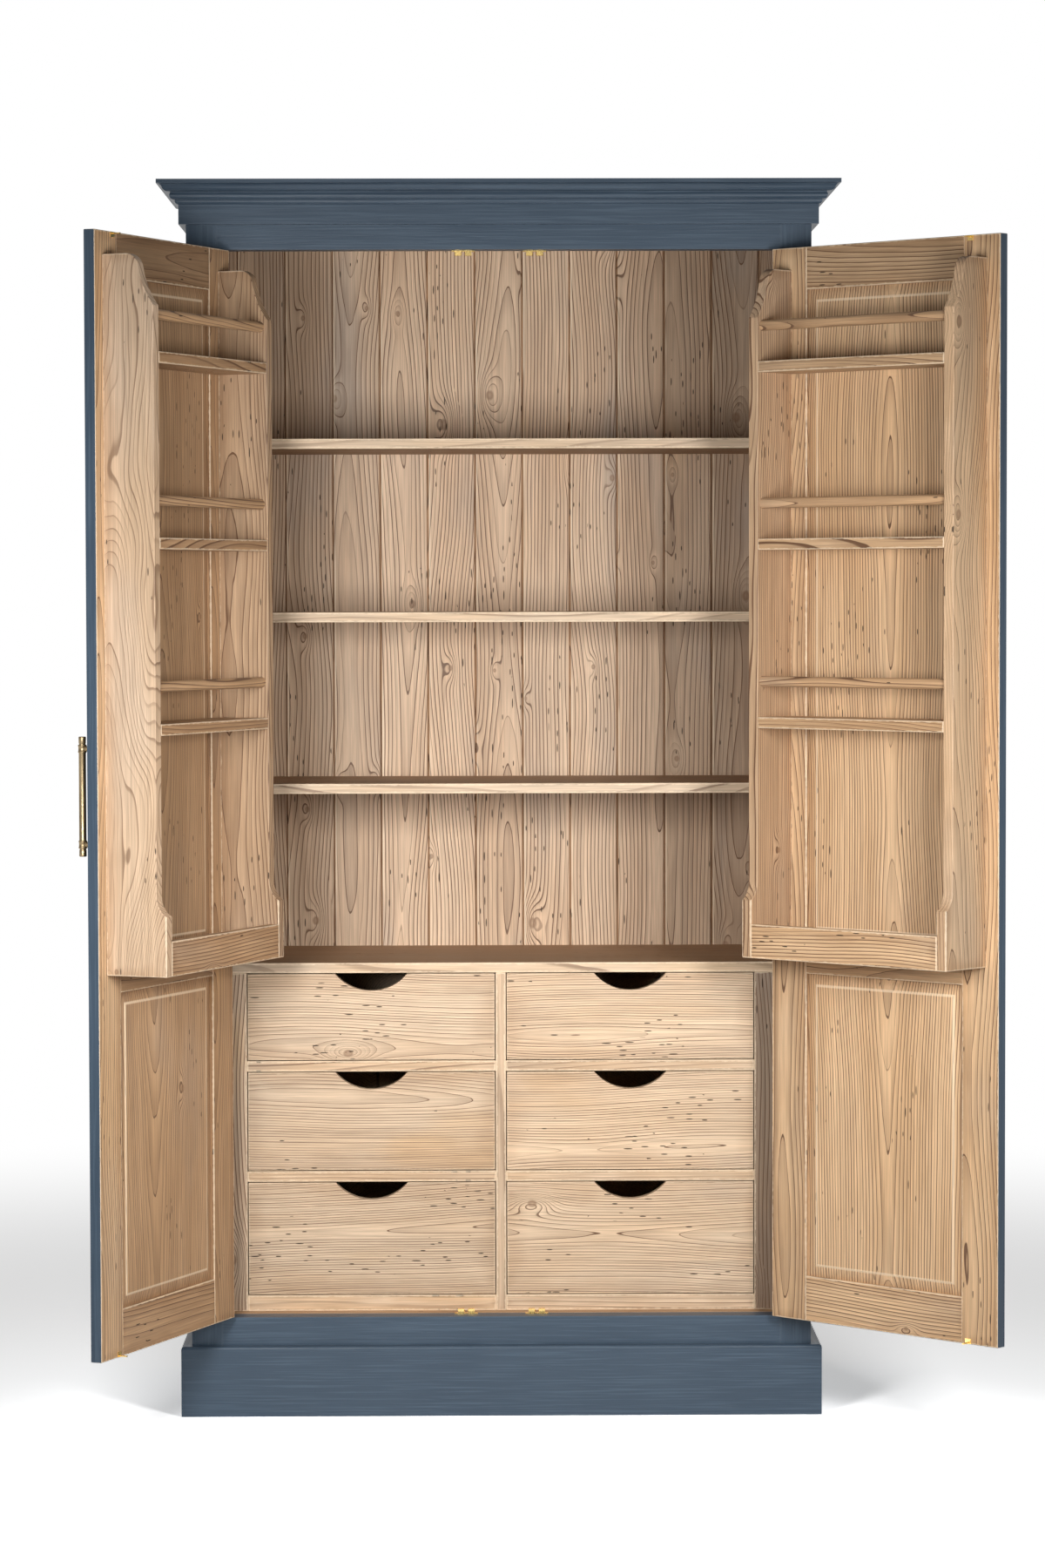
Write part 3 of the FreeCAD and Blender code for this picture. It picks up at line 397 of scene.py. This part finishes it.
def makePaintGroup():
    # satin paint brushed along the board, with the grain faint under it
    sheet, given, finish = newGroup(
        "paintCoat", {"Vector": (0.0, 0.0, 0.0), "Seed": 0.0, "Grain": 0.0, "Late": 0.0, "Edge": 0.0},
        ("Color", "Roughness", "Height"))
    place = sheet.split(given["Vector"])
    stroke, sweep, cloud = (sheet.noise(name, place, given["Seed"])
                            for name in ("stroke", "sweep", "paintCloud"))
    base = sheet.colour(sheet.step(cloud, *paint["toBody"]), paint["deep"], paint["body"])
    base = sheet.colour(sheet.step(stroke, *paint["stroke"]) * paint["strokeShare"], base, paint["pale"])
    base = sheet.colour(sheet.step(sweep, *paint["sweep"]) * paint["sweepShare"], base, paint["pale"])
    base = sheet.colour(given["Late"] * paint["lateShare"], base, paint["deep"])
    # pale edges on the paint: partly wear, partly a painted highlight along the arrises
    base = sheet.colour(given["Edge"] * paint["wornHighlightShare"], base, paint["wornHighlight"])
    return finish(Color=base, Roughness=paint["roughness"] + (stroke - 0.5) * paint["strokeRough"],
                  Height=given["Grain"] * paint["grainHeight"] + stroke * paint["strokeHeight"])


pineGrain = makePineGroup()
boardEdge = makeEdgeGroup()
pineTone = makeToneGroup()
paintCoat = makePaintGroup()


class Door:
    # where a door's pin stands and how far it has turned from closed, as its joint gives them

    def __init__(self, joint):
        self.name = joint["child"]
        self.hand = -1 if self.name.endswith("left") else 1
        self.pin = np.array([*joint["pos_m"][:2], 0.0])
        closed = max(abs(value) for value in joint["range_deg"])
        self.back = -self.hand * math.radians(closed)

    def place(self, points):
        # points turned into (along the closed door from its pin, inwards, up)
        moved = points - self.pin
        c, s = math.cos(self.back), math.sin(self.back)
        return np.stack([(moved[:, 0] * c - moved[:, 1] * s) * -self.hand,
                         moved[:, 0] * s + moved[:, 1] * c, moved[:, 2]], 1)

    def world(self, points):
        # the way back
        x, y = points[:, 0] * -self.hand, points[:, 1]
        c, s = math.cos(self.back), math.sin(self.back)
        return np.stack([x * c + y * s, -x * s + y * c, points[:, 2]], 1) + self.pin

    def wires(self, sheet):
        point = sheet.out(sheet.put("ShaderNodeTexCoord"), "Object")
        moved = sheet.vectors("SUBTRACT", point, tuple(self.pin))
        turn = sheet.put("ShaderNodeVectorRotate", {"Vector": moved, "Angle": self.back},
                         rotation_type="Z_AXIS")
        x, y, z = sheet.split(sheet.out(turn))
        return x * float(-self.hand), y, z


doors = {joint["child"]: Door(joint) for joint in frame["joints"] if joint["name"].startswith("door_")}


def corners(name):
    return np.array([vertex.co for vertex in frame["nodes"][name].data.vertices], float)


def islands(mesh):
    # the separate solids of a mesh: each face's smallest corner label spreads until nothing changes
    places = np.array([vertex.co for vertex in mesh.vertices], float)
    _, same = np.unique(np.round(places, 6), axis=0, return_inverse=True)
    same = same.ravel()
    loops = np.array([loop.vertex_index for loop in mesh.loops])
    starts = np.array([polygon.loop_start for polygon in mesh.polygons])
    counts = np.array([polygon.loop_total for polygon in mesh.polygons])
    owner = np.repeat(np.arange(len(starts)), counts)
    spots = same[loops]
    label = np.arange(same.max() + 1)
    while True:
        lowest = np.minimum.reduceat(label[spots], starts)
        fresh = label.copy()
        np.minimum.at(fresh, spots, lowest[owner])
        fresh = fresh[fresh]
        if np.array_equal(fresh, label):
            break
        label = fresh
    solid = lowest
    return [(np.flatnonzero(solid == value), places[np.unique(loops[solid[owner] == value])])
            for value in np.unique(solid)]


def blankMaterial(name):
    material = bpy.data.materials.new(name)
    material.use_nodes = True
    return material, Sheet(material.node_tree), material.node_tree.nodes["Principled BSDF"]


seeds = {"count": 97, "step": 1.37, "solid": 3.7}


def seedOf(name, index):
    # a seed for one solid of a node
    total = sum((spot + 1) * ord(letter) for spot, letter in enumerate(name))
    return float(total % seeds["count"]) * seeds["step"] + index * seeds["solid"]


def tinted(colour, tint):
    return (*(value * tint for value in colour), 1.0)


def makeWood(name, seed, along, low, high, door=None, tint=1.0, spec=None, painted=None, lines=None):
    # pine on one board, under paint where painted says so: "all" or a function of (sheet, place)
    spec = {**plainSpec, **(spec or {})}
    material, sheet, shader = blankMaterial(name)
    place = door.wires(sheet) if door else sheet.split(sheet.out(sheet.put("ShaderNodeTexCoord"), "Object"))
    offset = [value - float(middle) for value, middle in zip(place, (low + high) / 2)]
    # across the board's wide face, through it, along it
    size = high - low
    run = "xyz".index(along)
    thin, wide = sorted((axis for axis in range(3) if axis != run), key=lambda axis: size[axis])
    vector = sheet.join(offset[wide], offset[thin], offset[run])
    grain = sheet.use(pineGrain, {"Vector": vector, "Seed": seed, "Ring": spec["ring"],
                                  "Drift": spec["drift"], "Warp": spec["warp"], "Knots": spec["knots"],
                                  "Marks": spec["marks"], "Thick": float(size[thin]) / 2})
    edges = sheet.use(boardEdge, {"Vector": sheet.join(*place), "Low": tuple(map(float, low)),
                                  "High": tuple(map(float, high)), "Arris": spec["arris"],
                                  "Broad": spec["broad"]})
    edge, rim = edges["Edge"], edges["Rim"]
    if lines:
        edge, rim = lines(sheet, place, low, high, edge, rim)
    height = grain.pop("Height")
    tone = sheet.use(pineTone, {**grain, "Edge": edge, "Rim": rim, "Contrast": spec["contrast"],
                                "Grey": spec["grey"], "Arris": spec["light"], "StainAndShade": spec["stainAndShade"],
                                "Pale": tinted(spec["pale"], tint), "Honey": tinted(spec["honey"], tint)})
    colour, rough = tone["Color"], tone["Roughness"]
    if painted:
        coat = sheet.use(paintCoat, {"Vector": vector, "Seed": seed, "Grain": height, "Late": grain["Late"],
                                     "Edge": edge})
        if painted == "all":
            colour, rough, height = coat["Color"], coat["Roughness"], coat["Height"]
        else:
            mask = painted(sheet, place)
            colour = sheet.colour(mask, colour, coat["Color"])
            rough = sheet.blend(mask, rough, coat["Roughness"])
            height = sheet.blend(mask, height, coat["Height"])
    bump = sheet.put("ShaderNodeBump", {"Height": height, "Strength": pine["bumpStrength"],
                                        "Distance": pine["bump"]})
    sheet.feed(shader.inputs["Base Color"], colour)
    sheet.feed(shader.inputs["Roughness"], rough)
    sheet.feed(shader.inputs["Normal"], sheet.out(bump))
    shader.inputs["Specular IOR Level"].default_value = pine["specular"]
    return material


def dressWood(name, along, door=None, **options):
    # every solid of the node is a board of its own, with its own seed and edges; tones, which scale each
    # board's colour and on several nodes paint shade, go from low to high and from left to right
    mesh = frame["nodes"][name].data
    mesh.materials.clear()
    slots = np.zeros(len(mesh.polygons), np.int32)
    tones = options.pop("tones", (1.0,))
    boards = sorted(islands(mesh), key=lambda board: tuple(np.round(board[1].mean(0)[[2, 0]], 2)))
    for index, (faces, places) in enumerate(boards):
        if door:
            places = door.place(places)
        mesh.materials.append(makeWood("%s_wood_%d" % (name, index), seedOf(name, index), along,
                                       places.min(0), places.max(0), door, tones[index % len(tones)],
                                       **options))
        slots[faces] = index
    mesh.polygons.foreach_set("material_index", slots)


def dress(name, material):
    mesh = frame["nodes"][name].data
    mesh.materials.clear()
    mesh.materials.append(material)
    mesh.polygons.foreach_set("material_index", np.zeros(len(mesh.polygons), np.int32))


stile = doors["door_left"].place(corners("door_left_stile_hinge"))
freeStile = doors["door_left"].place(corners("door_left_stile_free"))
slack = 0.0003
doorLimits = {"near": stile[:, 0].min() + slack, "far": freeStile[:, 0].max() - slack,
              "low": stile[:, 2].min() + slack, "high": stile[:, 2].max() - slack,
              "middle": (stile[:, 1].min() + stile[:, 1].max()) / 2, "arris": stile[:, 1].max() - slack * 2}
doorLimits = {key: float(value) for key, value in doorLimits.items()}


def doorCoat(sheet, place):
    # the coat covers the outer face and the door's own edges, up to the inner arris
    a, b, z = place
    limits = doorLimits
    rim = sheet.most(a < limits["near"], a > limits["far"], z < limits["low"], z > limits["high"])
    return sheet.most(b < limits["middle"], rim * (b < limits["arris"]))


# halfway through a side board, where its paint begins, and how thin the skin of painted shade on a shelf's
# upper and lower faces is
sideMiddle = 0.532
shadeSkin = 0.0006
panel = {"mouth": 0.009, "field": 0.028, "line": (0.001, 0.0032)}
boardJoint = {"vee": (0.0016, 0.003), "start": (0.002, 0.003), "end": (0.004, 0.0065), "broken": (0.4, 0.6)}


def sideCoat(sheet, place):
    return sheet.maths("ABSOLUTE", place[0]) > sideMiddle


def shelfFaceShade(sheet, place, low, high, edge, rim):
    # painted shade: the upper and lower faces of a shelf are darker than its front, as the lamps light them
    # little
    above = place[2] > float(high[2]) - shadeSkin
    below = place[2] < float(low[2]) + shadeSkin
    return edge, sheet.most(rim, above, below)


def panelLines(sheet, place, low, high, edge, rim):
    # a raised panel: dark where it enters the frame, a pale line where its sloping margin ends, which is a
    # painted highlight
    a, b, z = place
    out = sheet.least(a - float(low[0]), float(high[0]) - a, z - float(low[2]), float(high[2]) - z)
    off = sheet.maths("ABSOLUTE", out - panel["field"])
    return 1.0 - sheet.step(off, *panel["line"]), 1.0 - sheet.step(out, panel["mouth"], panel["field"])


def boardLines(sheet, place, low, high, edge, rim):
    # a back board: dark in the vee, a pale arris beside it, partly wear and partly painted highlight, that
    # comes and goes
    out = sheet.least(place[0] - float(low[0]), float(high[0]) - place[0])
    broken = sheet.step(sheet.noise("brokenLine", place), *boardJoint["broken"])
    pale = sheet.step(out, *boardJoint["start"]) * (1.0 - sheet.step(out, *boardJoint["end"]))
    return pale * broken, sheet.most(1.0 - sheet.step(out, *boardJoint["vee"]), rim)


# what a kind of board looks like: spacing of its rings, their wander and warp, how strong they are, how
# many knots and worm marks, its pale edges (partly wear, partly painted highlight) and its darkened ones
# (stain, and painted shade on shelf faces), and its two tones
plainSpec = {"ring": 0.0042, "drift": 0.055, "warp": 0.010, "contrast": 0.7, "knots": 0.16, "marks": 0.75,
             "arris": 0.003, "light": 0.55, "broad": 0.028, "stainAndShade": 0.35, "grey": 0.25,
             "pale": (0.95, 0.72, 0.50), "honey": (0.88, 0.63, 0.40)}
backSpec = {"ring": 0.0064, "drift": 0.06, "warp": 0.014, "contrast": 1.6, "knots": 0.6, "marks": 0.8,
            "light": 0.55, "stainAndShade": 1.0, "broad": 0.003, "grey": 0.5,
            "pale": (0.915, 0.67, 0.46), "honey": (0.81, 0.56, 0.365)}
# darker pine for the sides' inner faces and the drawer unit's stiles: painted shade, as the doors and racks
# keep light from them
shadedInsideSpec = {**backSpec, "pale": (0.62, 0.45, 0.31), "honey": (0.54, 0.37, 0.25)}
drawerSpec = {"ring": 0.0042, "drift": 0.035, "contrast": 1.2, "marks": 1.0, "broad": 0.05, "stainAndShade": 0.3,
              "light": 0.3, "pale": (0.935, 0.71, 0.495), "honey": (0.88, 0.635, 0.415)}
railSpec = {"drift": 0.012, "warp": 0.004, "arris": 0.004, "light": 0.5, "contrast": 0.8,
            "pale": (0.93, 0.71, 0.50)}
frameSpec = {"ring": 0.0056, "contrast": 1.8, "pale": (0.92, 0.63, 0.375), "honey": (0.81, 0.525, 0.29)}
# darker pine; on the left door this darkness is painted shade
darkSpec = {**frameSpec, "pale": (0.66, 0.42, 0.235), "honey": (0.56, 0.345, 0.185)}
rodSpec = {**darkSpec, "light": 0.0, "stainAndShade": 0.0}
# full strength here gives the shelves' upper and lower faces their painted shade
topSpec = {**railSpec, "stainAndShade": 1.0, "broad": 0.0005}
cheekSpec = {"ring": 0.0056, "drift": 0.09, "warp": 0.03, "contrast": 1.5, "knots": 0.4, "marks": 0.6,
             "pale": (0.94, 0.65, 0.40), "honey": (0.85, 0.55, 0.315)}
hingeCheekSpec = {**cheekSpec, "ring": 0.0050, "drift": 0.03, "warp": 0.02, "contrast": 1.8,
                  "pale": (0.68, 0.465, 0.29), "honey": (0.60, 0.395, 0.235)}
swirlSpec = {**cheekSpec, "ring": 0.0060, "drift": 0.2, "warp": 0.10, "contrast": 0.75, "marks": 0.9,
             "pale": (0.80, 0.58, 0.395), "honey": (0.70, 0.49, 0.315), "light": 0.5}

paintedWood = {
    "frame_stiles": "z",
    "frame_rail_top": "x",
    "frame_rail_bottom": "x",
    "plinth_front": "x",
    "plinth_returns": "y",
    "frieze_front": "x",
    "frieze_returns": "y",
    "cornice_front": "x",
    "cornice_returns": "y",
}
for name, along in paintedWood.items():
    dressWood(name, along, painted="all")

fixedWood = {
    "side_left": ("z", dict(spec=shadedInsideSpec, painted=sideCoat)),
    "side_right": ("z", dict(spec=shadedInsideSpec, painted=sideCoat)),
    "floor_board": ("x", dict(spec=darkSpec)),
    "top_panel": ("x", dict(spec=darkSpec)),
    # the back boards darken towards both sides: painted shade, where the door racks keep light from the
    # back
    "back_boards": ("z", dict(spec=backSpec, lines=boardLines,
                              tones=(0.66, 0.72, 0.82, 0.91, 0.98, 1.02, 0.98, 1.04, 0.96, 0.88, 0.79, 0.66,
                                     0.60))),
    # each shelf front is toned down to the light it gets: painted shade, most on the upper shelf; their
    # upper and lower faces carry painted shade too
    "shelf_upper": ("x", dict(spec=topSpec, lines=shelfFaceShade, tones=(0.86,))),
    "shelf_middle": ("x", dict(spec=topSpec, lines=shelfFaceShade)),
    "shelf_lower": ("x", dict(spec=topSpec, lines=shelfFaceShade, tones=(0.95,))),
    "worktop": ("x", dict(spec=topSpec, lines=shelfFaceShade, tones=(0.9,))),
    # the right stile is darker than the left: painted shade from the right door
    "drawer_unit_stiles": ("z", dict(spec=shadedInsideSpec, tones=(1.15, 0.85))),
    "drawer_unit_uprights": ("z", dict(spec=railSpec)),
    "drawer_rails": ("x", dict(spec=railSpec)),
    "drawer_runners": ("y", {}),
}
for name, (along, options) in fixedWood.items():
    dressWood(name, along, **options)

doorWood = {
    "stile_hinge": ("z", dict(spec=frameSpec, painted=doorCoat)),
    "stile_free": ("z", dict(spec=frameSpec, painted=doorCoat)),
    # the rails darken from the bottom rail to the top one: painted shade at the top of the door
    "rails": ("x", dict(spec=frameSpec, painted=doorCoat, tones=(1.0, 0.92, 0.76))),
    "panels": ("z", dict(spec=frameSpec, painted=doorCoat, lines=panelLines)),
    "rack_cheek_hinge": ("z", dict(spec=hingeCheekSpec)),
    "rack_cheek_free": ("z", dict(spec=cheekSpec)),
    "rack_shelves": ("x", dict(spec=frameSpec, tones=(0.9,))),
    "rack_rods": ("x", dict(spec=rodSpec, tones=(1.15,))),
    "rack_front_board": ("x", dict(spec=frameSpec, tones=(0.92,))),
}
# most of the left door's parts take darker pine: painted shade, as that door's inner face turns away from
# the lamps
leftDoor = {"stile_hinge": darkSpec, "rails": darkSpec, "panels": darkSpec, "rack_shelves": darkSpec,
            "rack_front_board": darkSpec, "rack_cheek_free": swirlSpec}
for side, door in doors.items():
    for part, (along, options) in doorWood.items():
        if side == "door_left" and part in leftDoor:
            options = {**options, "spec": leftDoor[part]}
        dressWood(side + "_" + part, along, door, **options)

# the lower drawer fronts are darker: painted shade, as less of the lamps' light reaches them
drawerShadeTones = {"top": 1.0, "middle": 0.98, "base": 0.92}
for column in ("left", "right"):
    for row in ("top", "middle", "base"):
        name = "drawer_%s_%s" % (column, row)
        dressWood(name + "_front", "x", spec=drawerSpec, tones=(drawerShadeTones[row],))
        dressWood(name + "_box", "y")
print("wood dressed")


brass = {"cloud": (0.35, 0.7), "cloudRough": 0.2, "scratchRough": 0.2, "bump": 0.0002, "bumpStrength": 0.25}


def makeBrass(name, bright, dark, roughness, patina):
    # metal with a cloudy, darker patina and fine scratches
    material, sheet, shader = blankMaterial(name)
    place = sheet.split(sheet.out(sheet.put("ShaderNodeTexCoord"), "Object"))
    fine = sheet.noise("scratches", place)
    mask = sheet.step(sheet.noise("patina", place), *brass["cloud"]) * patina
    rough = mask * brass["cloudRough"] + (fine - 0.5) * brass["scratchRough"] + roughness
    sheet.feed(shader.inputs["Base Color"], sheet.colour(mask, bright, dark))
    sheet.feed(shader.inputs["Roughness"], rough)
    bump = sheet.put("ShaderNodeBump", {"Height": fine, "Strength": brass["bumpStrength"],
                                        "Distance": brass["bump"]})
    sheet.feed(shader.inputs["Normal"], sheet.out(bump))
    shader.inputs["Metallic"].default_value = 1.0
    return material


polished = makeBrass("polishedBrass", (1.0, 0.73, 0.28), (0.80, 0.50, 0.15), 0.22, 0.4)
antique = makeBrass("antiqueBrass", (0.36, 0.27, 0.155), (0.22, 0.16, 0.09), 0.36, 0.6)
hingeBrass = makeBrass("hingeBrass", (0.72, 0.52, 0.22), (0.42, 0.29, 0.12), 0.33, 0.6)

# radius and distance from its middle of one half of a turned bar, and the same of a post from the bar
# to the door, in metres; most corners have a second point close by, which rounds them over
turned = {
    "bar": ((0.0060, 0.0), (0.0060, 0.0714), (0.0062, 0.0719), (0.0062, 0.0724), (0.0069, 0.0728),
            (0.0072, 0.0731), (0.0072, 0.0747), (0.0067, 0.0752), (0.0065, 0.0790), (0.0067, 0.0828),
            (0.0072, 0.0833), (0.0072, 0.0849), (0.0069, 0.0853), (0.0057, 0.0856), (0.0055, 0.0861),
            (0.0055, 0.0872), (0.0058, 0.0878), (0.0060, 0.0882), (0.0061, 0.0940), (0.0062, 0.0974),
            (0.0060, 0.0982), (0.0052, 0.0989), (0.0, 0.0990)),
    "post": ((0.0, 0.0045), (0.0044, 0.0046), (0.0045, 0.0050), (0.0044, 0.0090), (0.0038, 0.0130),
             (0.0036, 0.0170), (0.0038, 0.0205), (0.0044, 0.0235), (0.0055, 0.0255), (0.0068, 0.0266),
             (0.0084, 0.0270), (0.0089, 0.0273), (0.0090, 0.0277), (0.0090, 0.0297), (0.0088, 0.0300),
             (0.0, 0.0300)),
    "steps": 40,
    "widest": 0.0072,
    "postUp": 0.079,
}


def lathe(profile, steps):
    # a closed solid of revolution about its third axis; a radius of zero closes an end in one point
    angles = np.arange(steps) * 2 * math.pi / steps
    ring = np.stack([np.cos(angles), np.sin(angles), np.zeros(steps)], 1)
    inner = profile[1:-1]
    points = [np.array([[0.0, 0.0, profile[0][1]]])]
    points += [ring * radius + np.array([0.0, 0.0, up]) for radius, up in inner]
    points.append(np.array([[0.0, 0.0, profile[-1][1]]]))
    here = np.arange(steps)
    after = (here + 1) % steps
    last = 1 + len(inner) * steps
    faces = [(0, 1 + int(b), 1 + int(a)) for a, b in zip(here, after)]
    for row in range(len(inner) - 1):
        low, high = 1 + row * steps, 1 + (row + 1) * steps
        faces += [(low + int(a), low + int(b), high + int(b), high + int(a)) for a, b in zip(here, after)]
    top = last - steps
    faces += [(top + int(a), top + int(b), last) for a, b in zip(here, after)]
    return np.concatenate(points), faces


def makeHandle(door):
    # the turned bar and its two posts, drawn on the closed door and carried to where it stands
    name = door.name + "_handle"
    box = door.place(corners(name))
    low, high = box.min(0), box.max(0)
    profile = [(radius, -up) for radius, up in turned["bar"][:0:-1]] + list(turned["bar"])
    bar, faces = lathe(profile, turned["steps"])
    centre = np.array([(low[0] + high[0]) / 2, low[1] + turned["widest"], (low[2] + high[2]) / 2])
    points = [bar + centre]
    post, postFaces = lathe(turned["post"], turned["steps"])
    # the post's own axis turns from up to inwards, towards the door
    post = np.stack([post[:, 0], post[:, 2], -post[:, 1]], 1) + centre
    for way in (-1, 1):
        start = sum(len(part) for part in points)
        points.append(post + np.array([0, 0, way * turned["postUp"]]))
        faces += [tuple(start + corner for corner in face) for face in postFaces]
    mesh = bpy.data.meshes.new(name + "_turned")
    if door.hand < 0:
        faces = [face[::-1] for face in faces]
    mesh.from_pydata(door.world(np.concatenate(points)).tolist(), [], faces)
    mesh.polygons.foreach_set("use_smooth", np.ones(len(faces), bool))
    mesh.materials.append(antique)
    piece = bpy.data.objects.new(name + "_turned", mesh)
    bpy.context.scene.collection.objects.link(piece)
    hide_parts(name)
    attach(piece, door.name)


for side, door in doors.items():
    makeHandle(door)
    dress(side + "_hinge_leaves", hingeBrass)
    dress(side + "_strikes", polished)
dress("ball_catches", polished)
dress("hinge_leaves_fixed", hingeBrass)
print("brass dressed")

studio = {
    "floorBounce": (0.36, 0.36, 0.36),
    "floorSeen": (2.0, 2.0, 2.0),
    "lift": 0.42,
    "fade": (1.3, 4.0),
    "frontFade": 2.2,
    "risenFade": (0.0, 0.3),
    "world": 0.065,
    "mirrored": 0.45,
    "boxSize": (0.5, 0.8),
    "boxes": {"left": (-0.74, -2.1, 1.35), "right": (1.10, -2.1, 1.35)},
    "aim": (0.0, 0.0, 0.8),
    "spread": 115.0,
    "watts": 16.5,
}


def makeFloorMaterial():
    # the eye and mirrors see the floor lifted to white; its shadow stays
    material = bpy.data.materials.new("studioFloor")
    material.use_nodes = True
    material.node_tree.nodes.clear()
    sheet = Sheet(material.node_tree)
    matte = sheet.put("ShaderNodeBsdfDiffuse", {"Color": (*studio["floorBounce"], 1)})
    pale = sheet.put("ShaderNodeBsdfDiffuse", {"Color": (*studio["floorSeen"], 1)})
    glow = sheet.put("ShaderNodeEmission", {"Color": (1, 1, 1, 1), "Strength": studio["lift"]})
    white = sheet.put("ShaderNodeEmission", {"Color": (1, 1, 1, 1), "Strength": 1.0})
    rays = sheet.put("ShaderNodeLightPath")
    seen = sheet.most(*(sheet.out(rays, "Is %s Ray" % kind)
                        for kind in ("Camera", "Glossy", "Transmission")))
    # far from the object the floor goes over into plain white, sooner in front of it
    x, y, z = sheet.split(sheet.out(sheet.put("ShaderNodeTexCoord"), "Object"))
    deep = sheet.most(y, y * -studio["frontFade"])
    far = sheet.root(x * x + deep * deep)
    fade = sheet.most(sheet.step(far, *studio["fade"]), sheet.step(z, *studio["risenFade"]))
    both = sheet.put("ShaderNodeAddShader", {0: sheet.out(pale), 1: sheet.out(glow)})
    shown = sheet.put("ShaderNodeMixShader", {0: fade, 1: sheet.out(both), 2: sheet.out(white)})
    pick = sheet.put("ShaderNodeMixShader", {0: seen, 1: sheet.out(matte), 2: sheet.out(shown)})
    sheet.put("ShaderNodeOutputMaterial", {"Surface": sheet.out(pick)})
    return material


def makeFloor():
    # a flat floor that sweeps up into a backdrop: a quarter circle between the two
    size = {"front": -14.0, "reach": 12.0, "wide": 18.0, "radius": 1.2, "tall": 9.0}
    bend = np.linspace(0, math.pi / 2, 17)
    lineY = np.concatenate([[size["front"]], size["reach"] + size["radius"] * np.sin(bend),
                            [size["reach"] + size["radius"]]])
    lineZ = np.concatenate([[0.0], size["radius"] - size["radius"] * np.cos(bend), [size["tall"]]])
    acrossX = np.array([-size["wide"], size["wide"]])
    grid = np.stack(np.broadcast_arrays(acrossX[None, :], lineY[:, None], lineZ[:, None]), -1)
    first = np.arange(len(lineY) - 1) * 2
    quads = np.stack([first, first + 1, first + 3, first + 2], 1)
    mesh = bpy.data.meshes.new("studioFloor")
    mesh.from_pydata(grid.reshape(-1, 3).tolist(), [], quads.tolist())
    mesh.polygons.foreach_set("use_smooth", np.ones(len(quads), bool))
    mesh.materials.append(makeFloorMaterial())
    floor = bpy.data.objects.new("studioFloor", mesh)
    bpy.context.scene.collection.objects.link(floor)


def makeWorld():
    world = bpy.data.worlds.new("studio")
    bpy.context.scene.world = world
    world.use_nodes = True
    world.node_tree.nodes.clear()
    sheet = Sheet(world.node_tree)
    rays = sheet.put("ShaderNodeLightPath")
    seen = sheet.most(sheet.out(rays, "Is Camera Ray"), sheet.out(rays, "Is Transmission Ray"))
    # shiny things mirror a studio with pale walls, though little light comes from them
    room = sheet.blend(sheet.out(rays, "Is Glossy Ray"), studio["world"], studio["mirrored"])
    strength = sheet.blend(seen, room, 1.0)
    glow = sheet.put("ShaderNodeBackground", {"Color": (1, 1, 1, 1), "Strength": strength})
    sheet.put("ShaderNodeOutputWorld", {"Surface": sheet.out(glow)})


def addLight(name, place):
    data = bpy.data.lights.new(name, "AREA")
    data.shape = "RECTANGLE"
    data.size, data.size_y = studio["boxSize"]
    data.energy = studio["watts"]
    data.spread = math.radians(studio["spread"])
    lamp = bpy.data.objects.new(name, data)
    lamp.location = place
    lamp.visible_camera = False
    lamp.rotation_euler = (Vector(studio["aim"]) - Vector(place)).to_track_quat("-Z", "Y").to_euler()
    bpy.context.scene.collection.objects.link(lamp)


def makeCamera():
    view = {"place": (-0.03812, -7.48717, 1.43599), "yaw": 0.010252, "pitch": 0.044124, "roll": -0.002344,
            "focal": 4945.9, "tall": 1800, "sensor": 36.0}
    data = bpy.data.cameras.new("photoCamera")
    data.sensor_fit = "VERTICAL"
    data.sensor_height = view["sensor"]
    data.lens = view["focal"] * view["sensor"] / view["tall"]
    camera = bpy.data.objects.new("photoCamera", data)
    yaw, pitch, roll = view["yaw"], view["pitch"], view["roll"]
    forward = Vector((math.sin(yaw) * math.cos(pitch), math.cos(yaw) * math.cos(pitch), -math.sin(pitch)))
    level = Vector((math.cos(yaw), -math.sin(yaw), 0))
    upright = level.cross(forward)
    right = level * math.cos(roll) + upright * math.sin(roll)
    up = upright * math.cos(roll) - level * math.sin(roll)
    rows = [(right[i], up[i], -forward[i], view["place"][i]) for i in range(3)]
    camera.matrix_world = Matrix((*rows, (0, 0, 0, 1)))
    bpy.context.scene.collection.objects.link(camera)
    bpy.context.scene.camera = camera


makeFloor()
makeWorld()
for side, place in studio["boxes"].items():
    addLight(side + "Softbox", place)
makeCamera()
bpy.context.scene.view_settings.view_transform = "Standard"
print("stage set")
